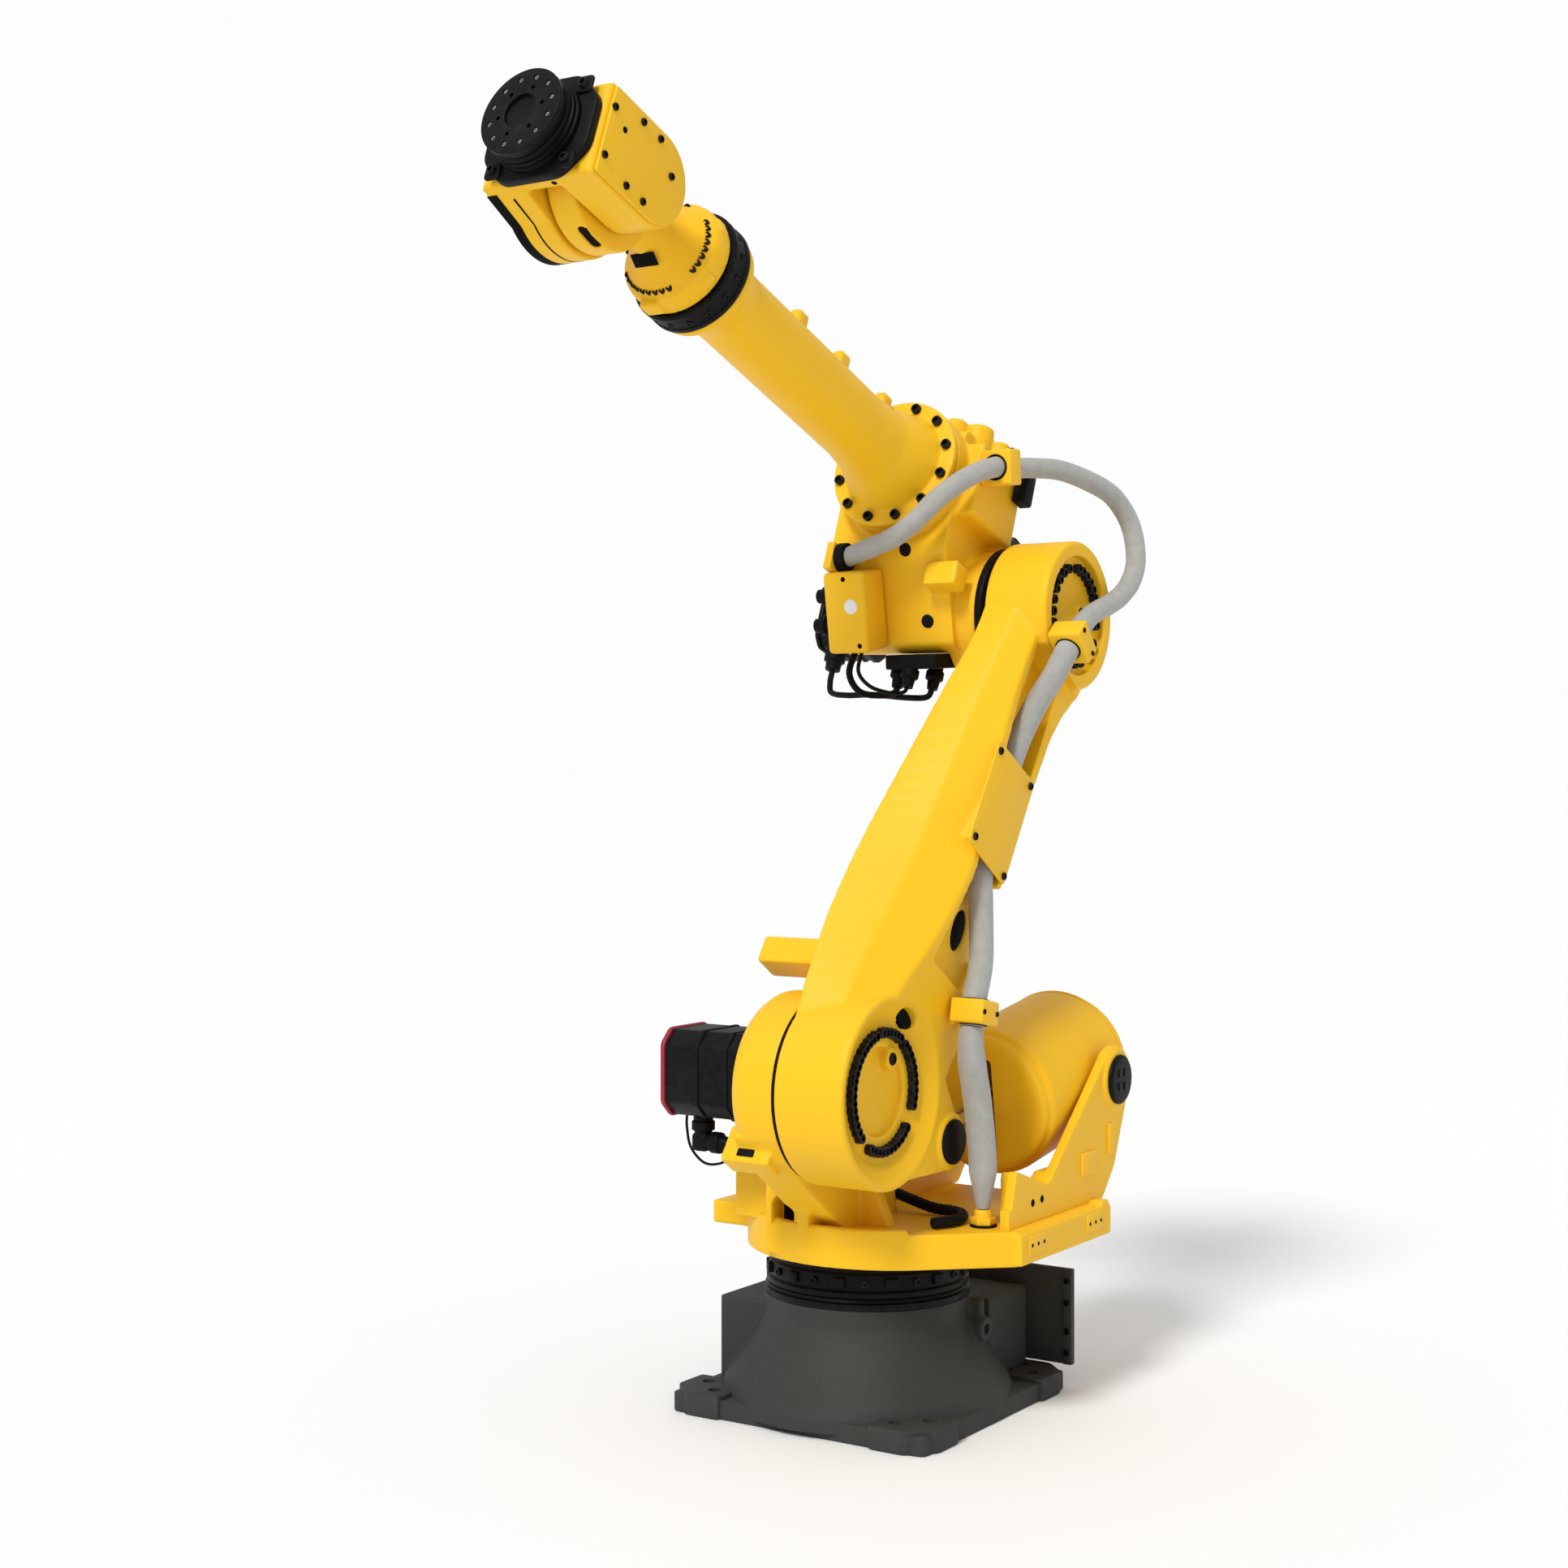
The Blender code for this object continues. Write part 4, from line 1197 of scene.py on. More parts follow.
    def build_shoulder_cable(self) -> None:
        """The shoulder motor's plug, its elbow and the thin cable beside it."""
        x, y = self.shoulder[0] + 0.02, -0.165
        across = [(0.0, 0.0), (0.017, 0.0), (0.017, 0.020), (0.0205, 0.023), (0.0205, 0.042),
                  (0.014, 0.046), (0.012, 0.072), (0.0, 0.073)]
        elbow = turned(across, 0.002, 2, "Y", (x, y, 0.548), 32)
        plugs = together(self.connector((x, y, 0.597)), elbow,
                         block((0.036, 0.036, 0.036), (x, y, 0.548), 0.009))
        self.make("shoulder_plug", plugs, Look.PLASTIC, "shoulder_connector")
        self.lead("shoulder_lead", ((x, y + 0.068, 0.548), (x, y + 0.095, 0.550),
                                    (x - 0.005, -0.045, 0.556), (x - 0.010, -0.012, 0.562)),
                  0.0070)
        self.lead("shoulder_thin_lead", ((x, -0.203, 0.598), (x, -0.204, 0.575),
                                         (x, -0.195, 0.535), (x, -0.165, 0.508),
                                         (x, -0.130, 0.508), (x, -0.095, 0.525),
                                         (x, -0.060, 0.548), (x, -0.030, 0.566),
                                         (x - 0.005, -0.010, 0.572)), 0.0026, 10)

    def build_frames(self) -> None:
        """The two plates that carry the balancer's trunnion."""
        tx, tz = self.trunnion
        top = self.table_top
        leg = [(0.083, top - 0.002), (0.050, 0.500), (-0.080, 0.455)]
        leg += arc((tx, tz), 0.068, 40, 190, 24) + [(-0.375, 0.450), (-0.320, top - 0.002)]
        right = [(-0.060, top - 0.002)] + leg[2:]
        self.frame_plate("balancer_left_plate", leg, (0.341, 0.362), (0.350, 0.368),
                         "balancer_frame_left")
        self.frame_plate("balancer_right_plate", right, (0.004, 0.028), (-0.004, 0.010),
                         "balancer_frame_right")
        pads = [block((0.062, 0.006, 0.046), (-0.250, 0.3640, 0.472), 0.002),
                block((0.022, 0.006, 0.062), (-0.352, 0.3640, 0.508), 0.002)]
        self.make("frame_pads", together(*pads), Look.YELLOW)
        # Dark discs painted as the shade inside the frame's holes.
        holes = [stud("Y", x, z, 0.3616) for x, z in ((-0.014, 0.430), (-0.052, 0.432))]
        self.plugs("frame_hole_shades", 0.0075, 0.0015, holes)
        marks = [stud("Y", -0.250 + dx, 0.472 + dz, 0.3668) for dx in (-0.018, 0.018)
                 for dz in (-0.011, 0.011)]
        self.plugs("frame_pad_plugs", 0.0032, 0.001, marks, Look.YELLOW)
        cap = turned([(0.0, 0.3765), (0.043, 0.3765), (0.050, 0.3735), (0.050, 0.3665),
                      (0.0, 0.3665)], 0.002, 2, "Y", (tx, 0.0, tz))
        self.make("trunnion_end_cap", cap, Look.BLACK, "trunnion_cap")
        details = [block((0.010, 0.004, 0.016), (tx + u, 0.3770, tz + v), 0.0012)
                   for u, v in ((-0.012, 0.014), (0.012, 0.014), (-0.012, -0.014),
                                (0.012, -0.014))]
        self.make("trunnion_cap_slots", together(*details), Look.OXIDE)

    def frame_plate(self, name: str, outline: Sequence[Point2], span: Point2, boss: Point2,
                    node: str) -> None:
        """One trunnion plate with its bearing boss."""
        tx, tz = self.trunnion
        casting = Casting(plate(fillet(outline, 0.010, 3), "Y", *span))
        casting.add(rod("Y", *boss, 0.060, (tx, tz), 0.003))
        foot = (-0.300, 0.083) if node.endswith("left") else (-0.300, -0.060)
        mid, wide = sum(foot) / 2, foot[1] - foot[0]
        depth = span[1] - span[0]
        casting.add(block((wide, depth, 0.040), (mid, sum(span) / 2, self.table_top + 0.017)))
        if node.endswith("left"):
            low = self.table_top - 0.002
            inner = [(0.036, low), (0.030, 0.493), (-0.080, 0.455), (-0.106, 0.474),
                     (-0.340, 0.474), (-0.318, low)]
            casting.add(plate(inner, "Y", 0.316, 0.343))
        self.make(name, casting.cast(0.0034, 0.4), Look.YELLOW, node)

    def build_hose_foot(self) -> None:
        """The fitting at the foot of the hose, and the black hose curled on the table."""
        x, y = 0.066, 0.298
        top = self.table_top
        nut = plate(arc((x, y), 0.0235, 0, 300, 5), "Z", top + 0.004, 0.4100, 0.0015)
        collar = lathe([(0.0, 0.4245), (0.0150, 0.4245), (0.0175, 0.419), (0.0175, 0.407),
                        (0.0, 0.407)], "Z", (x, y, 0.0), 48)
        self.make("hose_foot", together(nut, collar), Look.YELLOW, "hose_fitting")
        washer = ring("Z", top + 0.0003, top + 0.0045, 0.012, 0.026, (x, y), 0.001, 48)
        self.make("hose_foot_seal", washer, Look.PLASTIC)
        low = top + 0.0125
        curl = [(0.150, 0.236, low), (0.118, 0.252, low), (0.080, 0.256, low),
                (0.044, 0.240, low), (0.024, 0.206, low), (0.026, 0.166, low + 0.002),
                (0.030, 0.120, low + 0.014), (0.020, 0.075, low + 0.022),
                (-0.006, 0.040, low + 0.020)]
        route = smooth_route([Vector(p) for p in curl], 8)
        ribs = [0.0103 + 0.0009 * (i % 2) for i in range(len(route))]
        self.make("table_hose", tube(route, ribs, 16), Look.PLASTIC)
        LOG.info("table_hose: %.3f m long", route_length(route))

    def build(self) -> None:
        """Build the whole turret."""
        self.build_table()
        self.build_pedestal()
        self.build_motors()
        self.build_shoulder_cable()
        self.build_frames()
        self.build_hose_foot()


# ---- lower arm ----------------------------------------------------------------------------
@dataclass
class LowerArm(SubAssembly):
    """The big lower arm: casting, bolt circles, hose cover and its fastenings."""

    length: float = 1.075
    hub_radius: float = 0.180
    elbow_radius: float = 0.150
    out_face: float = 0.246
    elbow_face: float = 0.328
    pin: Point2 = (-0.244, 0.020)
    bulge: Point2 = (0.014, 0.010)          # how far the front face stands out at its middle
    oval_hole: tuple = ((-0.047, 0.369), 0.024, 0.043)
    hub_slot: tuple = ((0.012, 0.147), 0.031, 0.016)
    # along the arm, front face, inner face, ridge, outer face, rear face
    sections: tuple = (
        (-0.02, 0.160, 0.1005, 0.120, 0.244, -0.160),
        (0.15, 0.178, 0.1005, 0.090, 0.248, -0.165),
        (0.30, 0.176, 0.1005, 0.055, 0.270, -0.150),
        (0.45, 0.170, 0.1150, 0.050, 0.294, -0.125),
        (0.60, 0.158, 0.1350, 0.075, 0.300, -0.110),
        (0.80, 0.148, 0.1680, 0.095, 0.300, -0.105),
        (0.93, 0.140, 0.1903, 0.100, 0.308, -0.115),
        (1.06, 0.130, 0.1903, 0.100, 0.320, -0.130),
    )

    def section(self, row: Sequence[float]) -> list[Point3]:
        """One ring round the arm, its corners rounded."""
        z, front, inner, ridge, outer, rear = row
        crest = ((front + ridge) / 2 + self.bulge[0], (inner + outer) / 2 + self.bulge[1])
        corners = [(front, inner), crest, (ridge, outer), (rear, outer), (rear, inner)]
        return [(x, y, z) for x, y in fillet(corners, 0.006, 3)]

    def build_casting(self) -> None:
        """The arm casting with its hubs, pin lobe, stop lug and hose channel."""
        rows = [Vector(row) for row in self.sections]
        rings = [self.section(row) for row in smooth_route(rows, 5)]
        casting = Casting(loft(rings))
        hub = rod("Y", 0.1005, self.out_face, self.hub_radius, edge=0.008, sides=128, steps=4)
        elbow = rod("Y", 0.1905, self.elbow_face, self.elbow_radius, (0.0, self.length), 0.008,
                    128, 4)
        lobe = [(-0.060, 0.165)] + arc(self.pin, 0.056, 75, 255, 20) + [(-0.060, -0.160)]
        lug = block((0.065, 0.167, 0.055), (0.085, 0.0215, 0.222), 0.004)
        casting.add(hub, elbow, plate(lobe, "Y", 0.212, 0.245),
                    rod("Y", 0.2125, 0.250, 0.050, self.pin, 0.003), lug)
        channel = [(0.030, 0.262), (0.030, 0.450), (0.055, 0.600), (0.072, 0.800),
                   (0.080, 0.950), (-0.300, 0.950), (-0.300, 0.262)]
        dish = [(0.0, 0.300), (0.176, 0.300), (0.170, 0.247), (0.128, 0.218), (0.0, 0.218)]
        casting.cut(plate(channel, "Y", 0.247, 0.400), lathe(dish, "Y", sides=128),
                    rod("Y", 0.204, 0.300, 0.082, sides=96),
                    rod("Y", 0.310, 0.400, 0.120, (0.0, self.length), 0.003, 128),
                    plate(oval(*self.hub_slot), "Y", 0.200, 0.300),
                    plate(oval(*self.oval_hole), "Y", 0.200, 0.300))
        wall = [(-0.050, 0.470), (-0.050, 0.955), (-0.125, 0.955), (-0.096, 0.890),
                (-0.080, 0.827), (-0.067, 0.640), (-0.064, 0.470)]
        casting.add(rod("Y", 0.195, 0.2245, 0.021, (0.004, 0.066), 0.003, 48),
                    rod("Y", 0.290, 0.3190, 0.018, (-0.020, self.length + 0.020), 0.003, 48),
                    plate(wall, "Y", 0.240, 0.3004),
                    block((0.022, 0.040, 0.190), (0.070, 0.280, 0.595), 0.003),
                    block((0.020, 0.016, 0.130), (-0.115, 0.2540, 0.265), 0.002))
        self.make("arm_casting", casting.cast(0.0036), Look.YELLOW,
                  "lower_arm_casting")
        self.make("balancer_pin", rod("Y", 0.158, 0.213, 0.020, self.pin, 0.002, 48), Look.STEEL)
        # Dark plates painted as the shade inside the oval hole and the hub slot.
        opening_shades = [plate(oval(centre, u - 0.0015, v - 0.0015), "Y", 0.205, height, 0.001)
                 for (centre, u, v), height in ((self.oval_hole, 0.2445), (self.hub_slot, 0.2270))]
        self.make("arm_opening_shades", together(*opening_shades), Look.HOLE_SHADE_AND_BLACK_MARKS)

    def build_bolt_circles(self) -> None:
        """The bolts of the shoulder and elbow gears and the plugs in their bosses."""
        arcs = ((100, 166, 10), (190, 262, 11), (284, 300, 3), (-52, 42, 14), (54, 88, 6))
        self.screws("shoulder_bolts", 0.0098, 0.0140,
                    studs_round("Y", 0.109, 0.2175, spread(arcs)))
        arcs = ((66, 156, 9), (180, 196, 2), (222, 300, 6), (-44, 40, 7))
        self.screws("elbow_bolts", 0.0098, 0.0140,
                    studs_round("Y", 0.097, 0.3098, spread(arcs), (0.0, self.length)))
        bores = [stud("Y", 0.004, 0.066, 0.2240), stud("Y", -0.020, self.length + 0.020, 0.3185)]
        self.make("hub_plugs", copies(cap_screw(0.0120, 0.0035), bores), Look.BLACK)

    def build_cover(self) -> None:
        """The plate over the hose channel, its screws and small fastenings."""
        outline = [(0.104, 0.480), (0.104, 0.705), (-0.062, 0.712), (-0.062, 0.478)]
        cover = plate(fillet(outline, 0.012, 4), "Y", 0.3008, 0.3048, 0.0008)
        self.make("channel_cover", cover, Look.YELLOW, "hose_cover")
        holes = [stud("Y", u, v, 0.3046) for u, v in ((0.092, 0.688), (-0.048, 0.697),
                                                     (0.088, 0.498), (-0.050, 0.493))]
        self.screws("cover_screws", 0.0076, 0.0045, holes)
        small = [stud("Y", u, v, 0.2618) for u, v in ((-0.113, 0.306), (-0.116, 0.290))]
        self.screws("channel_screws", 0.0050, 0.0045, small)
        cap = turned([(0.0, 0.2572), (0.037, 0.2572), (0.043, 0.2545), (0.043, 0.2490),
                      (0.0, 0.2490)], 0.0015, 2, "Y", (self.pin[0], 0.0, self.pin[1]), 64)
        self.make("pin_end_cap", cap, Look.BLACK, "balancer_pin_cap")

    def build(self) -> None:
        """Build the whole lower arm."""
        self.build_casting()
        self.build_bolt_circles()
        self.build_cover()


# ---- hoses and clamps ---------------------------------------------------------------------
@dataclass
class Clamp:
    """A block that grips the hose: body, rubber liner, lid screws."""

    name: str
    owner: SubAssembly
    centre: Point3
    pitch: float
    axis: str
    size: Point3
    node: str
    lid: Point3               # which way the lid's screws face
    bore: float = 0.0265

    def build(self) -> None:
        """Make the clamp's pieces on its sub-assembly."""
        place = Place(self.centre, self.pitch).matrix
        body = Casting(block(self.size, edge=0.005))
        body.cut(rod(self.axis, -0.09, 0.09, self.bore, sides=48))
        mesh = body.machined()
        mesh.transform(place)
        self.owner.make(self.name, mesh, Look.YELLOW, self.node)
        along = {"X": 0, "Z": 2}[self.axis]
        half = self.size[along] / 2
        liner = ring(self.axis, -half - 0.002, half + 0.002, self.bore - 0.0032,
                     self.bore - 0.0002, sides=48)
        liner.transform(place)
        self.owner.make(f"{self.name}_liner", liner, Look.PLASTIC)
        lid = Vector(self.lid)
        side = Vector((1, 0, 0)) if abs(lid.x) < 0.5 else Vector((0, 1, 0))
        if self.axis == "X":
            side = Vector((0, 1, 0)) if abs(lid.y) < 0.5 else Vector((0, 0, 1))
        reach = abs(lid.dot(Vector(self.size))) / 2 - 0.0003
        wide = abs(side.dot(Vector(self.size))) / 2 - 0.009
        turn = lid.to_track_quat("Z", "Y").to_matrix().to_4x4()
        spots = [place @ Matrix.Translation(lid * reach + side * wide * s) @ turn
                 for s in (1, -1)]
        self.owner.screws(f"{self.name}_screws", 0.0052, 0.0024, spots)


@dataclass
class HoseRun:
    """The sleeved hose up the arm, in four stretches that meet at the clamps."""

    places: dict[str, Place]
    gap: float = 0.0012
    span: int = 6
    settle: float = 0.070     # how far from its ends a stretch takes to reach its full girth
    # radius at the start, the middle and the end of each stretch
    girths: tuple = ((0.0125, 0.0270, 0.0228), (0.0228, 0.0236, 0.0228),
                     (0.0228, 0.0208, 0.0222), (0.0222, 0.0206, 0.0200))
    base: tuple = ((0.066, 0.298, 0.4254), (0.070, 0.298, 0.530), (0.090, 0.298, 0.635),
                   (0.110, 0.298, 0.705), (0.1152, 0.298, 0.7505))
    arm: tuple = ((-0.1105, 0.298, 0.199), (-0.100, 0.298, 0.225), (-0.0895, 0.298, 0.251),
                  (-0.082, 0.292, 0.325), (-0.050, 0.279, 0.417), (-0.019, 0.2735, 0.487),
                  (-0.008, 0.2735, 0.600), (0.001, 0.2765, 0.700), (0.014, 0.288, 0.770),
                  (0.032, 0.312, 0.835), (0.054, 0.346, 0.888), (0.0685, 0.3655, 0.932),
                  (0.060, 0.367, 0.965))
    loop: tuple = ((-0.1882, 0.367, 1.5243), (-0.2077, 0.367, 1.5405), (-0.246, 0.3675, 1.563),
                   (-0.290, 0.367, 1.578), (-0.338, 0.365, 1.591), (-0.402, 0.360, 1.612),
                   (-0.466, 0.353, 1.645), (-0.516, 0.342, 1.694), (-0.540, 0.322, 1.760),
                   (-0.520, 0.305, 1.810), (-0.471, 0.288, 1.843), (-0.370, 0.248, 1.872),
                   (-0.290, 0.214, 1.873), (-0.2418, 0.2008, 1.8680))
    forearm: tuple = ((0.1705, 0.2005, 0.2544), (0.195, 0.2005, 0.243),
                      (0.2195, 0.2005, 0.2316), (0.265, 0.180, 0.193), (0.295, 0.138, 0.1365),
                      (0.300, 0.093, 0.081), (0.290, 0.045, 0.053), (0.278, 0.000, 0.043),
                      (0.258, -0.052, 0.039), (0.245, -0.085, 0.037), (0.243, -0.1035, 0.0365))

    def radii(self, route: Sequence[Vector], girth: Point3) -> list[float]:
        """The sleeve's radius at each point, with soft folds.

        Args:
            route: the stretch's centreline.
            girth: its radius at the start, the middle and the end.

        Returns:
            One radius for each point.
        """
        runs = [0.0]
        for a, b in zip(route, route[1:]):
            runs.append(runs[-1] + (b - a).length)
        sizes = []
        for point, run in zip(route, runs):
            near = min(run, runs[-1] - run)
            end = girth[0] if run < runs[-1] / 2 else girth[2]
            size = end + (girth[1] - end) * min(1.0, near / self.settle)
            sizes.append(size * (1.0 + 0.018 * noise.noise(point * 22.0)))
        return sizes

    def build(self) -> None:
        """Build the four stretches; the base and elbow-loop stretches stay in the model's axes on
        no body, the others ride on their arm.
        """
        carriers = (("world", self.base), ("arm", self.arm), ("world", self.loop),
                    ("elbow", self.forearm))
        points, starts = [], []
        for label, stretch in carriers:
            starts.append(len(points))
            points += [self.places[label].at(p) for p in stretch]
        starts.append(len(points) - 1)
        route = smooth_route(points, self.span)
        names = ("base", "lower_arm", "elbow_loop", "forearm")
        for name, girth, low, high in zip(names, self.girths, starts, starts[1:]):
            piece = [p.copy() for p in route[low * self.span:high * self.span + 1]]
            piece[0] += (piece[1] - piece[0]).normalized() * self.gap
            piece[-1] += (piece[-2] - piece[-1]).normalized() * self.gap
            mesh = tube(piece, self.radii(piece, girth), 28)
            obj = dress(f"sleeve_{name}", mesh, Look.SLEEVE, Place())
            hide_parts(f"hose_{name}")
            if name == "base":
                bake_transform(obj)
            elif name == "elbow_loop":
                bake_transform(obj)
            else:
                carrier = Body.LOWER_ARM if name == "lower_arm" else Body.FOREARM
                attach(obj, carrier.value)
            LOG.info("sleeve_%s: %.3f m long", name, route_length(piece))


# ---- balancer -----------------------------------------------------------------------------
@dataclass
class Balancer(SubAssembly):
    """The spring balancer: its cylinder on the trunnion, its rod on the arm's pin."""

    radius: float = 0.150
    pin_place: Place = Place()

    def build_cylinder(self) -> None:
        """The cylinder with its end cap, weld seam and front ring."""
        body = [(0.0, 0.250), (0.126, 0.250), (0.140, 0.243), (0.140, 0.226),
                (self.radius, 0.222), (self.radius, -0.095), (0.137, -0.132), (0.105, -0.160),
                (0.060, -0.176), (0.0, -0.180)]
        cylinder = Casting(turned(body, 0.012, 4, "X", sides=128))
        cylinder.cut(block((0.380, 0.056, 0.190), (0.100, 0.0, 0.0), 0.010))
        self.make("balancer_shell", cylinder.machined(), Look.YELLOW, "balancer_cylinder")
        seam = ring("X", -0.101, -0.095, 0.147, 0.1512, edge=0.002, sides=128)
        self.make("balancer_weld", seam, Look.YELLOW)

    def build_rod(self) -> None:
        """The steel rod and its eye on the arm's pin."""
        bar = rod("X", -0.520, -0.036, 0.018, edge=0.001, sides=48)
        eye = Casting(rod("Y", -0.020, 0.020, 0.042, edge=0.003, sides=64)).add(bar)
        eye.cut(rod("Y", -0.050, 0.050, 0.0215, sides=48))
        self.make("balancer_push_rod", eye.machined(), Look.STEEL, "balancer_rod",
                  body=Body.BALANCER_ROD, place=self.pin_place)

    def build(self) -> None:
        """Build the balancer."""
        self.build_cylinder()
        self.build_rod()


# ---- elbow and forearm --------------------------------------------------------------------
@dataclass
class Forearm(SubAssembly):
    """The elbow casing with its motors, the forearm tube and the connector box."""

    rise: float = 0.225
    box_tilt: float = 30.0

    def build_casing(self) -> None:
        """The elbow casting with its bosses and stop block."""
        profile = [(-0.080, -0.040), (0.080, -0.108), (0.112, -0.108), (0.1955, 0.031),
                   (0.2200, 0.0720), (0.2200, 0.325), (-0.080, 0.325)]
        casting = Casting(plate(fillet(profile, 0.014, 3), "Y", -0.150, 0.120))
        casting.add(rod("Y", 0.090, 0.164, 0.138, edge=0.006, sides=128),
                    rod("X", 0.100, 0.2612, 0.139, (0.0, self.rise), 0.003, 128),
                    block((0.180, 0.090, 0.160), (0.1250, 0.120, 0.215), 0.008),
                    block((0.050, 0.072, 0.050), (0.190, 0.118, 0.008), 0.003))
        casting.cut(block((0.100, 0.060, 0.230), (-0.050, 0.106, 0.240), 0.010))
        casting.add(rod("Z", 0.290, 0.362, 0.022, (0.185, 0.072), 0.004, 48),
                    rod("Z", 0.280, 0.360, 0.030, (0.150, 0.108), 0.004, 48),
                    rod("Z", 0.270, 0.336, 0.020, (0.120, 0.145), 0.004, 48))
        self.make("elbow_housing", casting.cast(0.0036), Look.YELLOW, "elbow_casing")
        slant = rotation(31) @ TURN_TO["X"]
        spots = [Matrix.Translation(spot) @ slant
                 for spot in ((0.1384, 0.064, -0.064), (0.2125, 0.026, 0.062))]
        self.plugs("casing_plugs", 0.0140, 0.0035, spots, Look.BLACK)
        shelf = block((0.130, 0.120, 0.030), (0.060, 0.030, -0.118), 0.004,
                      rotation(24))
        self.make("casing_underside_block", shelf, Look.PLASTIC)
        reducer = [(0.0, 0.1838), (0.134, 0.1838), (0.142, 0.178), (0.142, 0.1643),
                   (0.0, 0.1643)]
        self.make("elbow_gear", turned(reducer, 0.002, 2, "Y", sides=128), Look.BLACK,
                  "elbow_reducer")

    def build_motors(self) -> None:
        """The four motors of the elbow and the wrist."""
        for name, z in (("roll_motor", 0.272), ("bend_motor", 0.162), ("tool_motor", 0.052)):
            Motor(name, "X", -0.0803, -0.2680, (0.050, 0.050), (-0.045, z), 0.0085,
                  0.016).build(self, Look.BLACK, (name,))
        Motor("elbow_motor", "Y", -0.1503, -0.2480, (0.065, 0.065), (0.0, -0.010), 0.0085,
              0.022).build(self, Look.BLACK, ("elbow_motor",))

    def build_tube(self) -> None:
        """The forearm tube with its flanges, bolts and lugs, and the black ring in front."""
        tube_profile = [(0.0, 1.002), (0.104, 1.002), (0.104, 0.984), (0.086, 0.962),
                        (0.0735, 0.925), (0.073, 0.900), (0.073, 0.440), (0.080, 0.370),
                        (0.098, 0.312), (0.108, 0.2805), (0.139, 0.2803), (0.139, 0.2625),
                        (0.0, 0.2625)]
        casting = Casting(turned(tube_profile, 0.006, 3, "X", (0, 0, self.rise), 128))
        lugs = (0.705, 0.545, 0.375)
        for along in lugs:
            casting.add(block((0.036, 0.026, 0.040), (along, 0.010, self.rise + 0.083), 0.008))
        self.make("forearm_casting", casting.machined(), Look.YELLOW, "forearm_tube")
        # Dark discs painted as the shade inside the lugs' holes.
        self.plugs("forearm_lug_hole_shades", 0.0050, 0.0015,
                   [stud("Z", along, 0.010, self.rise + 0.1025) for along in lugs])
        spots = studs_round("X", 0.1225, 0.2800, TWELVE, (0.0, self.rise))
        self.screws("forearm_flange_bolts", 0.0100, 0.0105, spots)
        outline = [(0.0, 1.053), (0.1055, 1.053), (0.109, 1.0495), (0.109, 1.040),
                   (0.1065, 1.038), (0.1065, 1.015), (0.109, 1.013), (0.109, 1.0053),
                   (0.106, 1.0023), (0.0, 1.0023)]
        self.make("wrist_bearing", lathe(outline, "X", (0, 0, self.rise), 128), Look.BLACK,
                  "wrist_ring")
        turn = [Matrix.Translation((0, 0, self.rise))
                @ rotation(11.25 + 22.5 * i, "X")
                @ stud("Z", 1.0265, 0.0, 0.1060) for i in range(16)]
        self.screws("wrist_bearing_screws", 0.0060, 0.0026, turn)

    def build_box(self) -> None:
        """The connector box, its collar, its white disc and its connectors."""
        hang = Place((0.236, -0.075, 0.010), self.box_tilt).matrix
        lower = block((0.085, 0.095, 0.165), (0.0, 0.0, -0.0825), 0.009)
        lower.transform(hang)
        box = Casting(lower)
        box.add(block((0.062, 0.0175, 0.058), (0.243, -0.1138, 0.030), 0.002))
        self.make("cable_box", box.machined(), Look.YELLOW, "connector_box")
        self.plugs("cable_box_disc", 0.0150, 0.0022, [hang @ stud("X", 0.015, -0.070, 0.0420)],
                   Look.LABEL)
        # Dark discs painted as the shade inside the box's holes.
        self.plugs("cable_box_hole_shades", 0.0052, 0.0015,
                   [hang @ stud("X", u, v, 0.0422) for u, v in ((0.002, -0.014), (0.029, -0.150))])
        collar = [(0.0, -0.083), (0.026, -0.083), (0.030, -0.087), (0.030, -0.1050),
                  (0.0, -0.1050)]
        self.make("cable_box_collar", turned(collar, 0.001, 2, "Y", (0.243, 0.0, 0.0365), 48),
                  Look.PLASTIC)
        shell = [(0.0, -0.0470), (0.016, -0.0470), (0.016, -0.0550), (0.0205, -0.0570),
                 (0.0205, -0.0690), (0.0150, -0.0720), (0.0145, -0.0840), (0.0, -0.0850)]
        shells = together(*(lathe(shell, "Y", (x, 0.0, z), 32)
                            for x, z in ((0.0, -0.050), (0.019, -0.108), (-0.022, -0.108))))
        shells.transform(hang)
        self.make("cable_box_sockets", shells, Look.PLASTIC, "box_connectors")

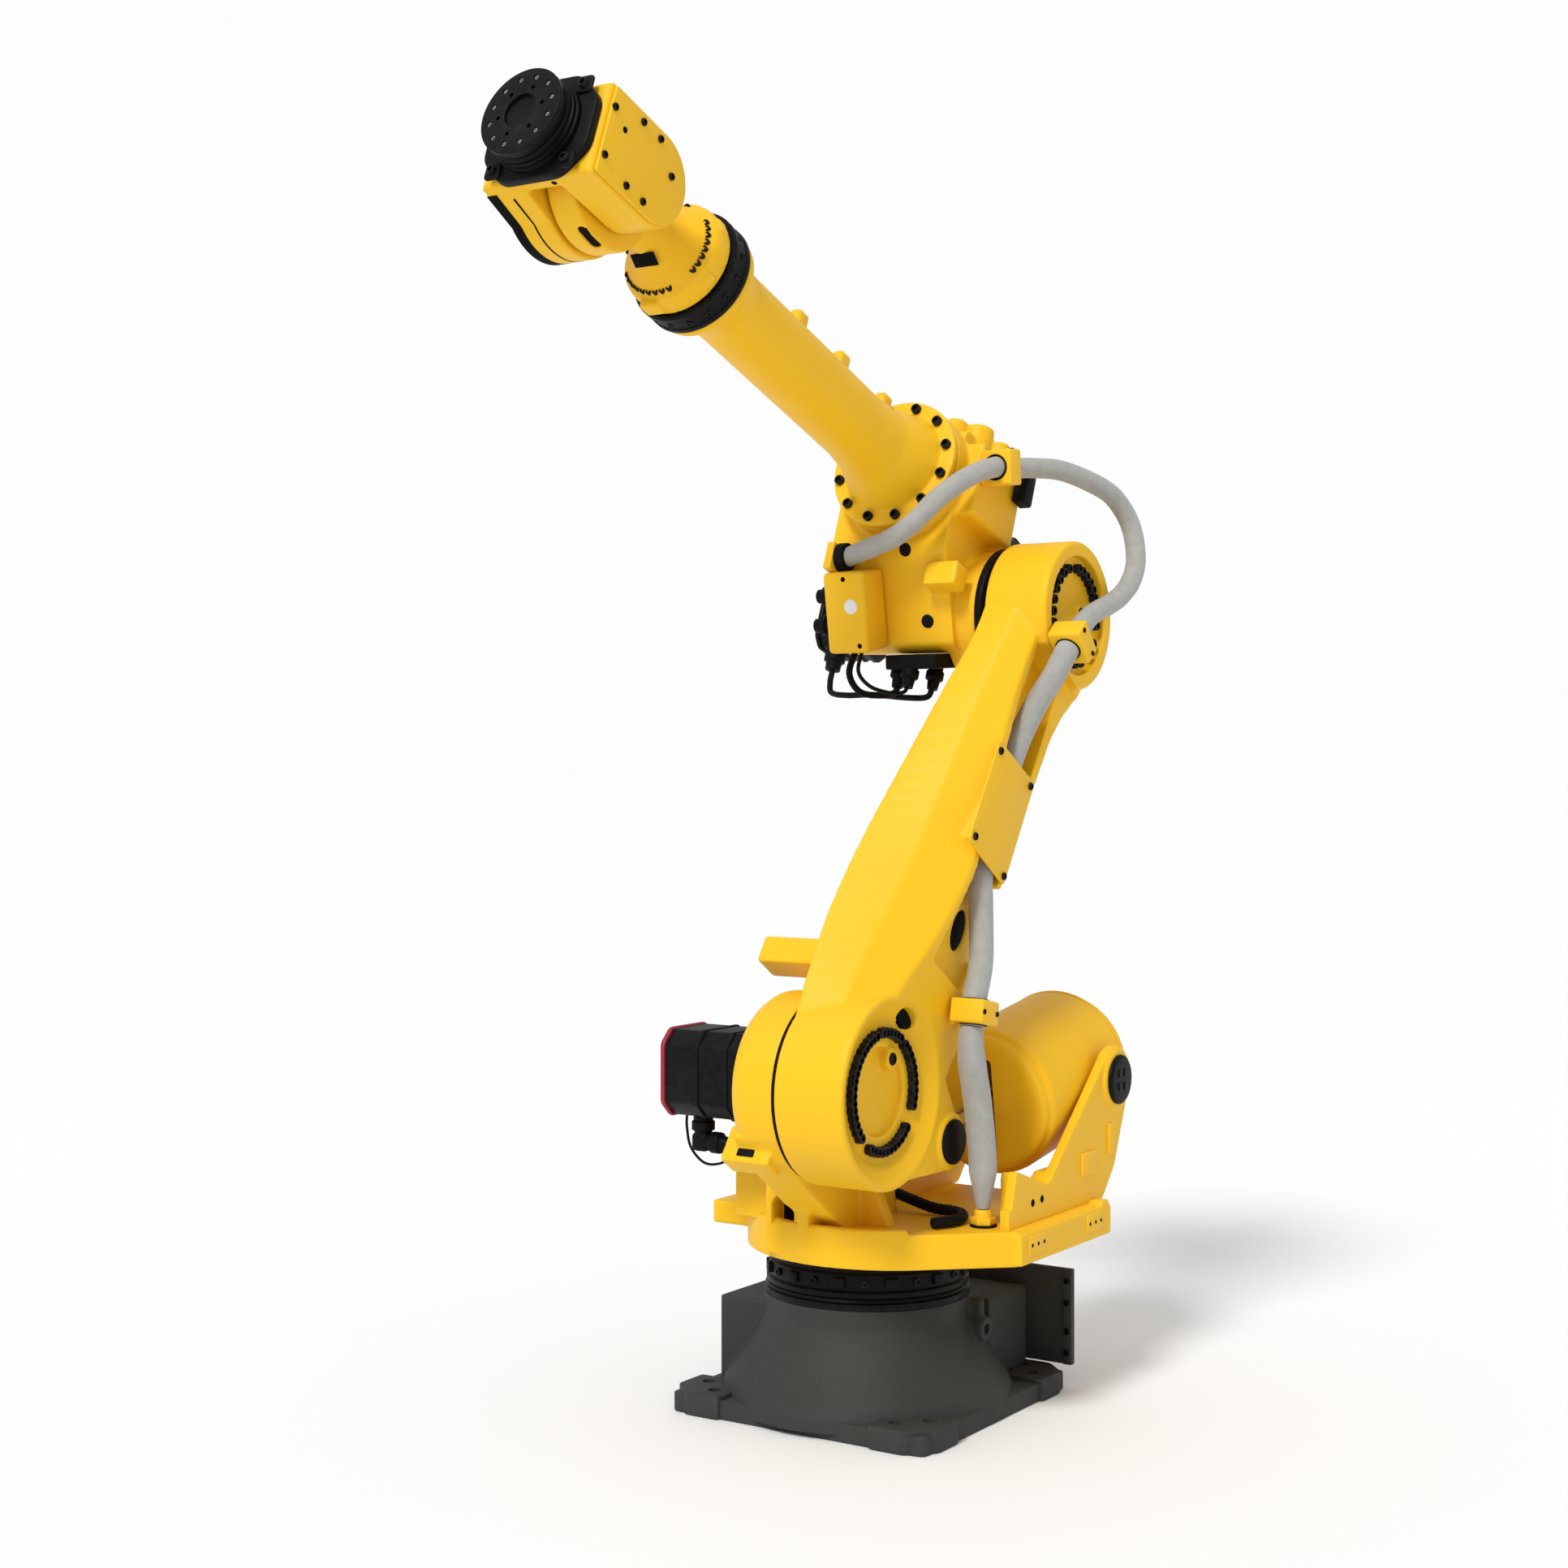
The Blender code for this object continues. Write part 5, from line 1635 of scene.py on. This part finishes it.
    def build_cables(self) -> None:
        """The motor plugs and the cables that hang under the casing."""
        profile = [(0.0, -0.0750), (0.019, -0.0750), (0.019, -0.0830), (0.0225, -0.0860),
                   (0.0225, -0.1000), (0.0170, -0.1040), (0.0160, -0.1200), (0.0, -0.1250)]
        self.make("elbow_plug", lathe(profile, "Z", (0.030, -0.215, 0.0), 32), Look.PLASTIC,
                  "elbow_connector")
        stubs = [lathe([(0.0, 0.0), (0.015, 0.0), (0.015, -0.010), (0.0185, -0.013),
                        (0.0185, -0.028), (0.013, -0.032), (0.011, -0.050), (0.0, -0.052)], "Z",
                       (x, y, z), 32)
                 for x, y, z in ((0.100, 0.022, -0.142), (0.050, 0.050, -0.126),
                                 (0.082, -0.014, -0.134))]
        self.make("casing_plugs_below", together(*stubs), Look.PLASTIC)
        routes = {
            "elbow_box_loop": (((0.165, -0.060, -0.136), (0.171, -0.055, -0.185),
                          (0.158, -0.030, -0.212), (0.132, 0.000, -0.216),
                          (0.108, 0.020, -0.206), (0.100, 0.022, -0.190)), 0.0040),
            "elbow_box_lead": (((0.146, -0.088, -0.126), (0.150, -0.090, -0.180),
                          (0.128, -0.070, -0.212), (0.098, -0.036, -0.208),
                          (0.083, -0.016, -0.196), (0.082, -0.014, -0.182)), 0.0068),
            "elbow_motor_lead": (((0.030, -0.215, -0.122), (0.032, -0.213, -0.150),
                            (0.044, -0.195, -0.178), (0.058, -0.145, -0.190),
                            (0.064, -0.080, -0.192), (0.060, 0.000, -0.198),
                            (0.052, 0.042, -0.194), (0.050, 0.050, -0.174)), 0.0062),
        }
        for name, (points, radius) in routes.items():
            self.lead(name, points, radius)
        wall = block((0.040, 0.030, 0.070), (0.060, 0.183, 0.262), 0.006)
        self.make("clamp_side_socket", wall, Look.PLASTIC)

    def build(self) -> None:
        """Build the whole forearm."""
        self.build_casing()
        self.build_motors()
        self.build_tube()
        self.build_box()
        self.build_cables()


# ---- wrist --------------------------------------------------------------------------------
@dataclass
class Wrist(SubAssembly):
    """The wrist past the forearm: rolling casting, bending fork, gear and tool flange."""

    rear: float = -1.310      # elbow to bend axis, along the forearm
    drum: float = 0.113
    half: float = 0.084
    face: float = 0.225

    def neck_ring(self, x: float, half_y: float, half_z: float) -> list[Point3]:
        """One oval ring of the neck's skin."""
        turns = [2 * math.pi * i / 48 for i in range(48)]
        return [(x, half_y * math.cos(t), half_z * math.sin(t)) for t in turns]

    def build_casting(self) -> None:
        """The casting that rolls: flange, neck and drum."""
        rows = ((1.056, 0.100, 0.100), (1.070, 0.100, 0.100), (1.086, 0.100, 0.100),
                (1.098, 0.097, 0.097), (1.104, 0.090, 0.090), (1.132, 0.062, 0.066),
                (1.160, 0.040, 0.048), (1.185, 0.029, 0.043), (1.220, 0.027, 0.042),
                (1.260, 0.027, 0.042))
        skin = loft([self.neck_ring(self.rear + x, hy, hz) for x, hy, hz in rows])
        drum = rod("Y", -0.0275, 0.0275, self.drum, edge=0.005, sides=128)
        pad = block((0.034, 0.040, 0.030), (self.rear + 1.084, -0.020, -0.093), 0.006)
        rim = copies(block((0.024, 0.030, 0.010), (self.rear + 1.078, 0.0, 0.0980), 0.003),
                     [rotation(t, "X") for t in (25, 95, 160, 235, 300)])
        casting = Casting(skin).add(drum, pad, rim)
        slot = [(u, 0.0155 + v) for u, v in fillet([(-0.0275, -0.009), (0.0275, -0.009),
                                                    (0.0275, 0.009), (-0.0275, 0.009)], 0.009)]
        tip = rotation(-6)
        groove = plate(slot, "Z", -0.120, -0.100)
        groove.transform(tip)
        casting.cut(groove)
        self.make("wrist_roll_casting", casting.cast(0.0026), Look.YELLOW,
                  "wrist_casting", body=Body.WRIST_ROLL)
        # A dark plate painted as the shade inside the slot.
        dark = plate([(u * 0.92, v) for u, v in slot], "Z", -0.1085, -0.1045)
        dark.transform(tip)
        self.make("wrist_slot_shade", dark, Look.HOLE_SHADE_AND_BLACK_MARKS, body=Body.WRIST_ROLL)
        arcs = ((30, -36, 8), (-72, -150, 9), (74, 98, 3), (150, 176, 3))
        self.screws("wrist_roll_bolts", 0.0060, 0.0115,
                    studs_round("X", 0.0845, self.rear + 1.1000, spread(arcs)),
                    body=Body.WRIST_ROLL)
        tag = block((0.002, 0.050, 0.026), edge=0.0008)
        tag.transform(Place((self.rear + 1.158, 0.0, -0.0515), 60).matrix)
        self.make("wrist_tag", tag, Look.HOLE_SHADE_AND_BLACK_MARKS, body=Body.WRIST_ROLL)

    def build_fork(self) -> None:
        """The fork that bends, with its cover, seam and arc strip."""
        half = self.half
        left = arc((0.0, 0.0), 0.118, 60, 300, 60) + [(0.150, -half), (0.150, half)]
        right = arc((0.0, 0.0), half, 90, 270, 48) + [(0.150, -half), (0.150, half)]
        casting = Casting(block((0.034, 0.225, 2 * half), (0.138, 0.0, 0.0), 0.008))
        casting.add(plate(left, "Y", -0.115, -0.034), plate(right, "Y", 0.034, 0.1142),
                    rod("Y", -0.112, -0.036, 0.1175, edge=0.006, sides=128))
        self.make("wrist_bend_casting", casting.cast(0.0028), Look.YELLOW, "wrist_fork")
        strip = plate(arc((0, 0), 0.1186, 185, 300, 44) + [(0.134, -0.0885), (0.134, -0.0800)]
                      + arc((0, 0), 0.1100, 300, 185, 44), "Y", -0.1152, -0.0950)
        self.make("wrist_arc_strip", strip, Look.HOLE_SHADE_AND_BLACK_MARKS)
        seam = plate(arc((0, 0), 0.1184, 205, 300, 36) + [(0.120, -0.0915), (0.120, -0.0860)]
                     + arc((0, 0), 0.1120, 300, 205, 36), "Y", -0.0690, -0.0655)
        self.make("wrist_seam", seam, Look.PLASTIC)
        tongue = arc((0.0, 0.0), 0.079, 90, 270, 48) + [(0.146, -0.079), (0.146, 0.079)]
        self.make("wrist_side_cover", plate(fillet(tongue, 0.004, 2), "Y", 0.1143, 0.1205,
                                            0.0012), Look.YELLOW, "tongue_cover")
        spots = [stud("Y", u, v, 0.1203) for u, v in ((0.140, 0.042), (0.066, 0.062),
                                                     (0.016, 0.062), (-0.032, 0.020),
                                                     (0.022, -0.062), (0.070, -0.062),
                                                     (0.137, -0.046))]
        self.screws("wrist_cover_screws", 0.0066, 0.0042, spots)
        # Dark discs painted as the shade inside the fork's holes.
        holes = [stud("Z", 0.136, 0.028, -half + 0.0012, True), stud("Y", 0.104, 0.022, 0.1203)]
        self.plugs("wrist_fork_hole_shades", 0.0055, 0.0022, holes)

    def gear_outline(self) -> list[Point2]:
        """The eight-sided outline of the gear's mounting plate."""
        corners = [(sy * a, sz * b)
                   for sy, sz, order in ((1, 1, 1), (-1, 1, -1), (-1, -1, 1), (1, -1, -1))
                   for a, b in ((0.108, 0.045), (0.061, 0.0935))[::order]]
        return fillet(corners, 0.016, 4)

    def build_tool_end(self) -> None:
        """The gear's plate, the gear with its grooves, and the tool flange."""
        self.make("gear_plate", plate(self.gear_outline(), "X", 0.1545, 0.1720, 0.0025),
                  Look.BLACK, "reducer_plate")
        lugs = [(y, z) for y in (-0.076, 0.076) for z in (-0.070, 0.070)]
        pads = [plate(fillet([(y - 0.016, z - 0.016), (y + 0.016, z - 0.016),
                              (y + 0.016, z + 0.016), (y - 0.016, z + 0.016)], 0.008), "X",
                      0.170, 0.1760, 0.002) for y, z in lugs]
        self.make("gear_plate_lugs", together(*pads), Look.BLACK)
        self.screws("gear_plate_bolts", 0.0082, 0.0075, [stud("X", y, z, 0.1755) for y, z in lugs])
        profile = [(0.0, 0.2035), (0.077, 0.2035), (0.080, 0.2005), (0.080, 0.1960),
                   (0.0775, 0.1948), (0.0775, 0.1925), (0.082, 0.1912), (0.082, 0.1862),
                   (0.0795, 0.1850), (0.0795, 0.1830), (0.084, 0.1815), (0.084, 0.1715),
                   (0.0, 0.1715)]
        self.make("gear_housing", turned(profile, 0.0006, 2, "X", sides=128), Look.BLACK,
                  "reducer")
        outline = [(0.0, 0.2185), (0.0315, 0.2185), (0.0315, self.face), (0.0785, self.face),
                   (0.080, 0.2235), (0.080, 0.2145), (0.078, 0.2135), (0.078, 0.2060),
                   (0.0, 0.2060)]
        flange = Casting(turned(outline, 0.0005, 2, "X", sides=128))
        outer = studs_round("X", 0.0625, 0.0, TWELVE)
        inner = studs_round("X", 0.0440, 0.0, [10 + 60 * i for i in range(6)])
        for spot, radius in [(s, 0.0050) for s in outer] + [(s, 0.0040) for s in inner]:
            hole = rod("Z", self.face - 0.009, self.face + 0.01, radius, sides=20)
            hole.transform(spot)
            flange.cut(hole)
        self.make("tool_face", flange.machined(), Look.OXIDE, "tool_flange",
                  body=Body.TOOL_FLANGE)
        pins = [s @ Matrix.Translation((0, 0, self.face - 0.0070)) for s in outer]
        self.screws("tool_face_screws", 0.0042, 0.0055, pins, Look.STEEL,
                    body=Body.TOOL_FLANGE)

    def build(self) -> None:
        """Build the whole wrist."""
        self.build_casting()
        self.build_fork()
        self.build_tool_end()


# ---- studio -------------------------------------------------------------------------------
@dataclass(frozen=True)
class Studio:
    """A pale floor, soft lights and the camera."""

    camera_place: Point3 = (4.0141, 2.4570, 1.2920)
    forward: Point3 = (-0.83390, -0.55191, -0.00275)
    lens: float = 54.22
    sensor: float = 36.0
    shift_y: float = -0.0160
    floor_size: float = 120.0
    surround: float = 0.66    # light from all sides
    backdrop: float = 0.981   # how bright the surround looks
    sun_place: Point3 = (3.40, 0.30, 3.60)
    sun_strength: float = 2.05
    sun_angle: float = 14.0

    def aimed(self, name: str, data: bpy.types.ID, place: Point3,
              aim: Vector) -> bpy.types.Object:
        """A camera or lamp at a place, looking along a direction."""
        obj = in_scene(name, data)
        obj.location = place
        obj.rotation_mode = "QUATERNION"
        obj.rotation_quaternion = aim.to_track_quat("-Z", "Y")
        return obj

    def build_camera(self) -> None:
        """The camera, level, and shifted a little for the framing."""
        data = bpy.data.cameras.new("camera")
        data.lens, data.sensor_width, data.shift_y = self.lens, self.sensor, self.shift_y
        data.clip_end = 200.0
        bpy.context.scene.camera = self.aimed("camera", data, self.camera_place,
                                              Vector(self.forward))

    def build_floor(self) -> None:
        """A plain pale floor."""
        bm = bmesh.new()
        bmesh.ops.create_circle(bm, cap_ends=True, radius=self.floor_size, segments=96)
        mesh = closed_mesh(bm)
        mat, tree, shader = new_material("pale_floor")
        feed(tree, shader, {"Base Color": (0.90, 0.90, 0.90, 1.0), "Roughness": 0.7,
                            "Specular IOR Level": 0.2})
        mesh.materials.append(mat)
        floor = in_scene("floor", mesh)
        floor.location.z = -0.001

    def build_lights(self) -> None:
        """One wide light from above the front, and an even surround."""
        world = bpy.data.worlds.new("surround")
        world.use_nodes = True
        tree = world.node_tree
        soft = tree.nodes["Background"]
        feed(tree, soft, {"Color": WHITE, "Strength": self.surround})
        seen = add_node(tree, "ShaderNodeBackground", {"Color": WHITE, "Strength": self.backdrop})
        path = add_node(tree, "ShaderNodeLightPath")
        pick = add_node(tree, "ShaderNodeMixShader", {0: path.outputs["Is Camera Ray"],
                                                      1: soft.outputs[0], 2: seen.outputs[0]})
        feed(tree, tree.nodes["World Output"], {"Surface": pick.outputs[0]})
        bpy.context.scene.world = world
        sun = bpy.data.lights.new("overhead", "SUN")
        sun.energy, sun.angle = self.sun_strength, math.radians(self.sun_angle)
        self.aimed("overhead", sun, self.sun_place, -Vector(self.sun_place))

    def build(self) -> None:
        """Set up the whole studio."""
        self.build_camera()
        self.build_floor()
        self.build_lights()
        view = bpy.context.scene.view_settings
        view.view_transform, view.look = "Standard", "None"


def main() -> None:
    """Build the studio and every sub-assembly, in order."""
    logging.basicConfig(level=logging.INFO, format="%(message)s")
    Studio().build()
    effects = Effects()
    for finish in FINISHES:
        MATERIALS[finish.look] = finish.material(effects)
    places = arm_places()
    lower_arm = LowerArm(places["arm"], Body.LOWER_ARM)
    forearm = Forearm(places["elbow"], Body.FOREARM)
    parts = (FloorBase(places["world"], Body.BASE), Turret(places["world"], Body.TURRET),
             lower_arm, Balancer(places["swing"], Body.BALANCER_CYLINDER,
                                 pin_place=places["pin"]),
             forearm, Wrist(places["bend"], Body.WRIST_BEND))
    for part in parts:
        part.build()
    clamps = (
        Clamp("lower_clamp", lower_arm, (-0.100, 0.300, 0.225), 22.0, "Z",
              (0.068, 0.070, 0.046), "hose_clamp_lower", (0, 1, 0)),
        Clamp("upper_clamp", lower_arm, (0.060, 0.3670, 0.965), -17.0, "Z",
              (0.075, 0.071, 0.046), "hose_clamp_upper", (0, 1, 0)),
        Clamp("elbow_clamp", forearm, (0.195, 0.2005, 0.243), 25.0, "X",
              (0.048, 0.069, 0.072), "hose_clamp_elbow", (0, 0, 1)),
    )
    for clamp in clamps:
        clamp.build()
    HoseRun(places).build()


if __name__ == "__main__":
    main()
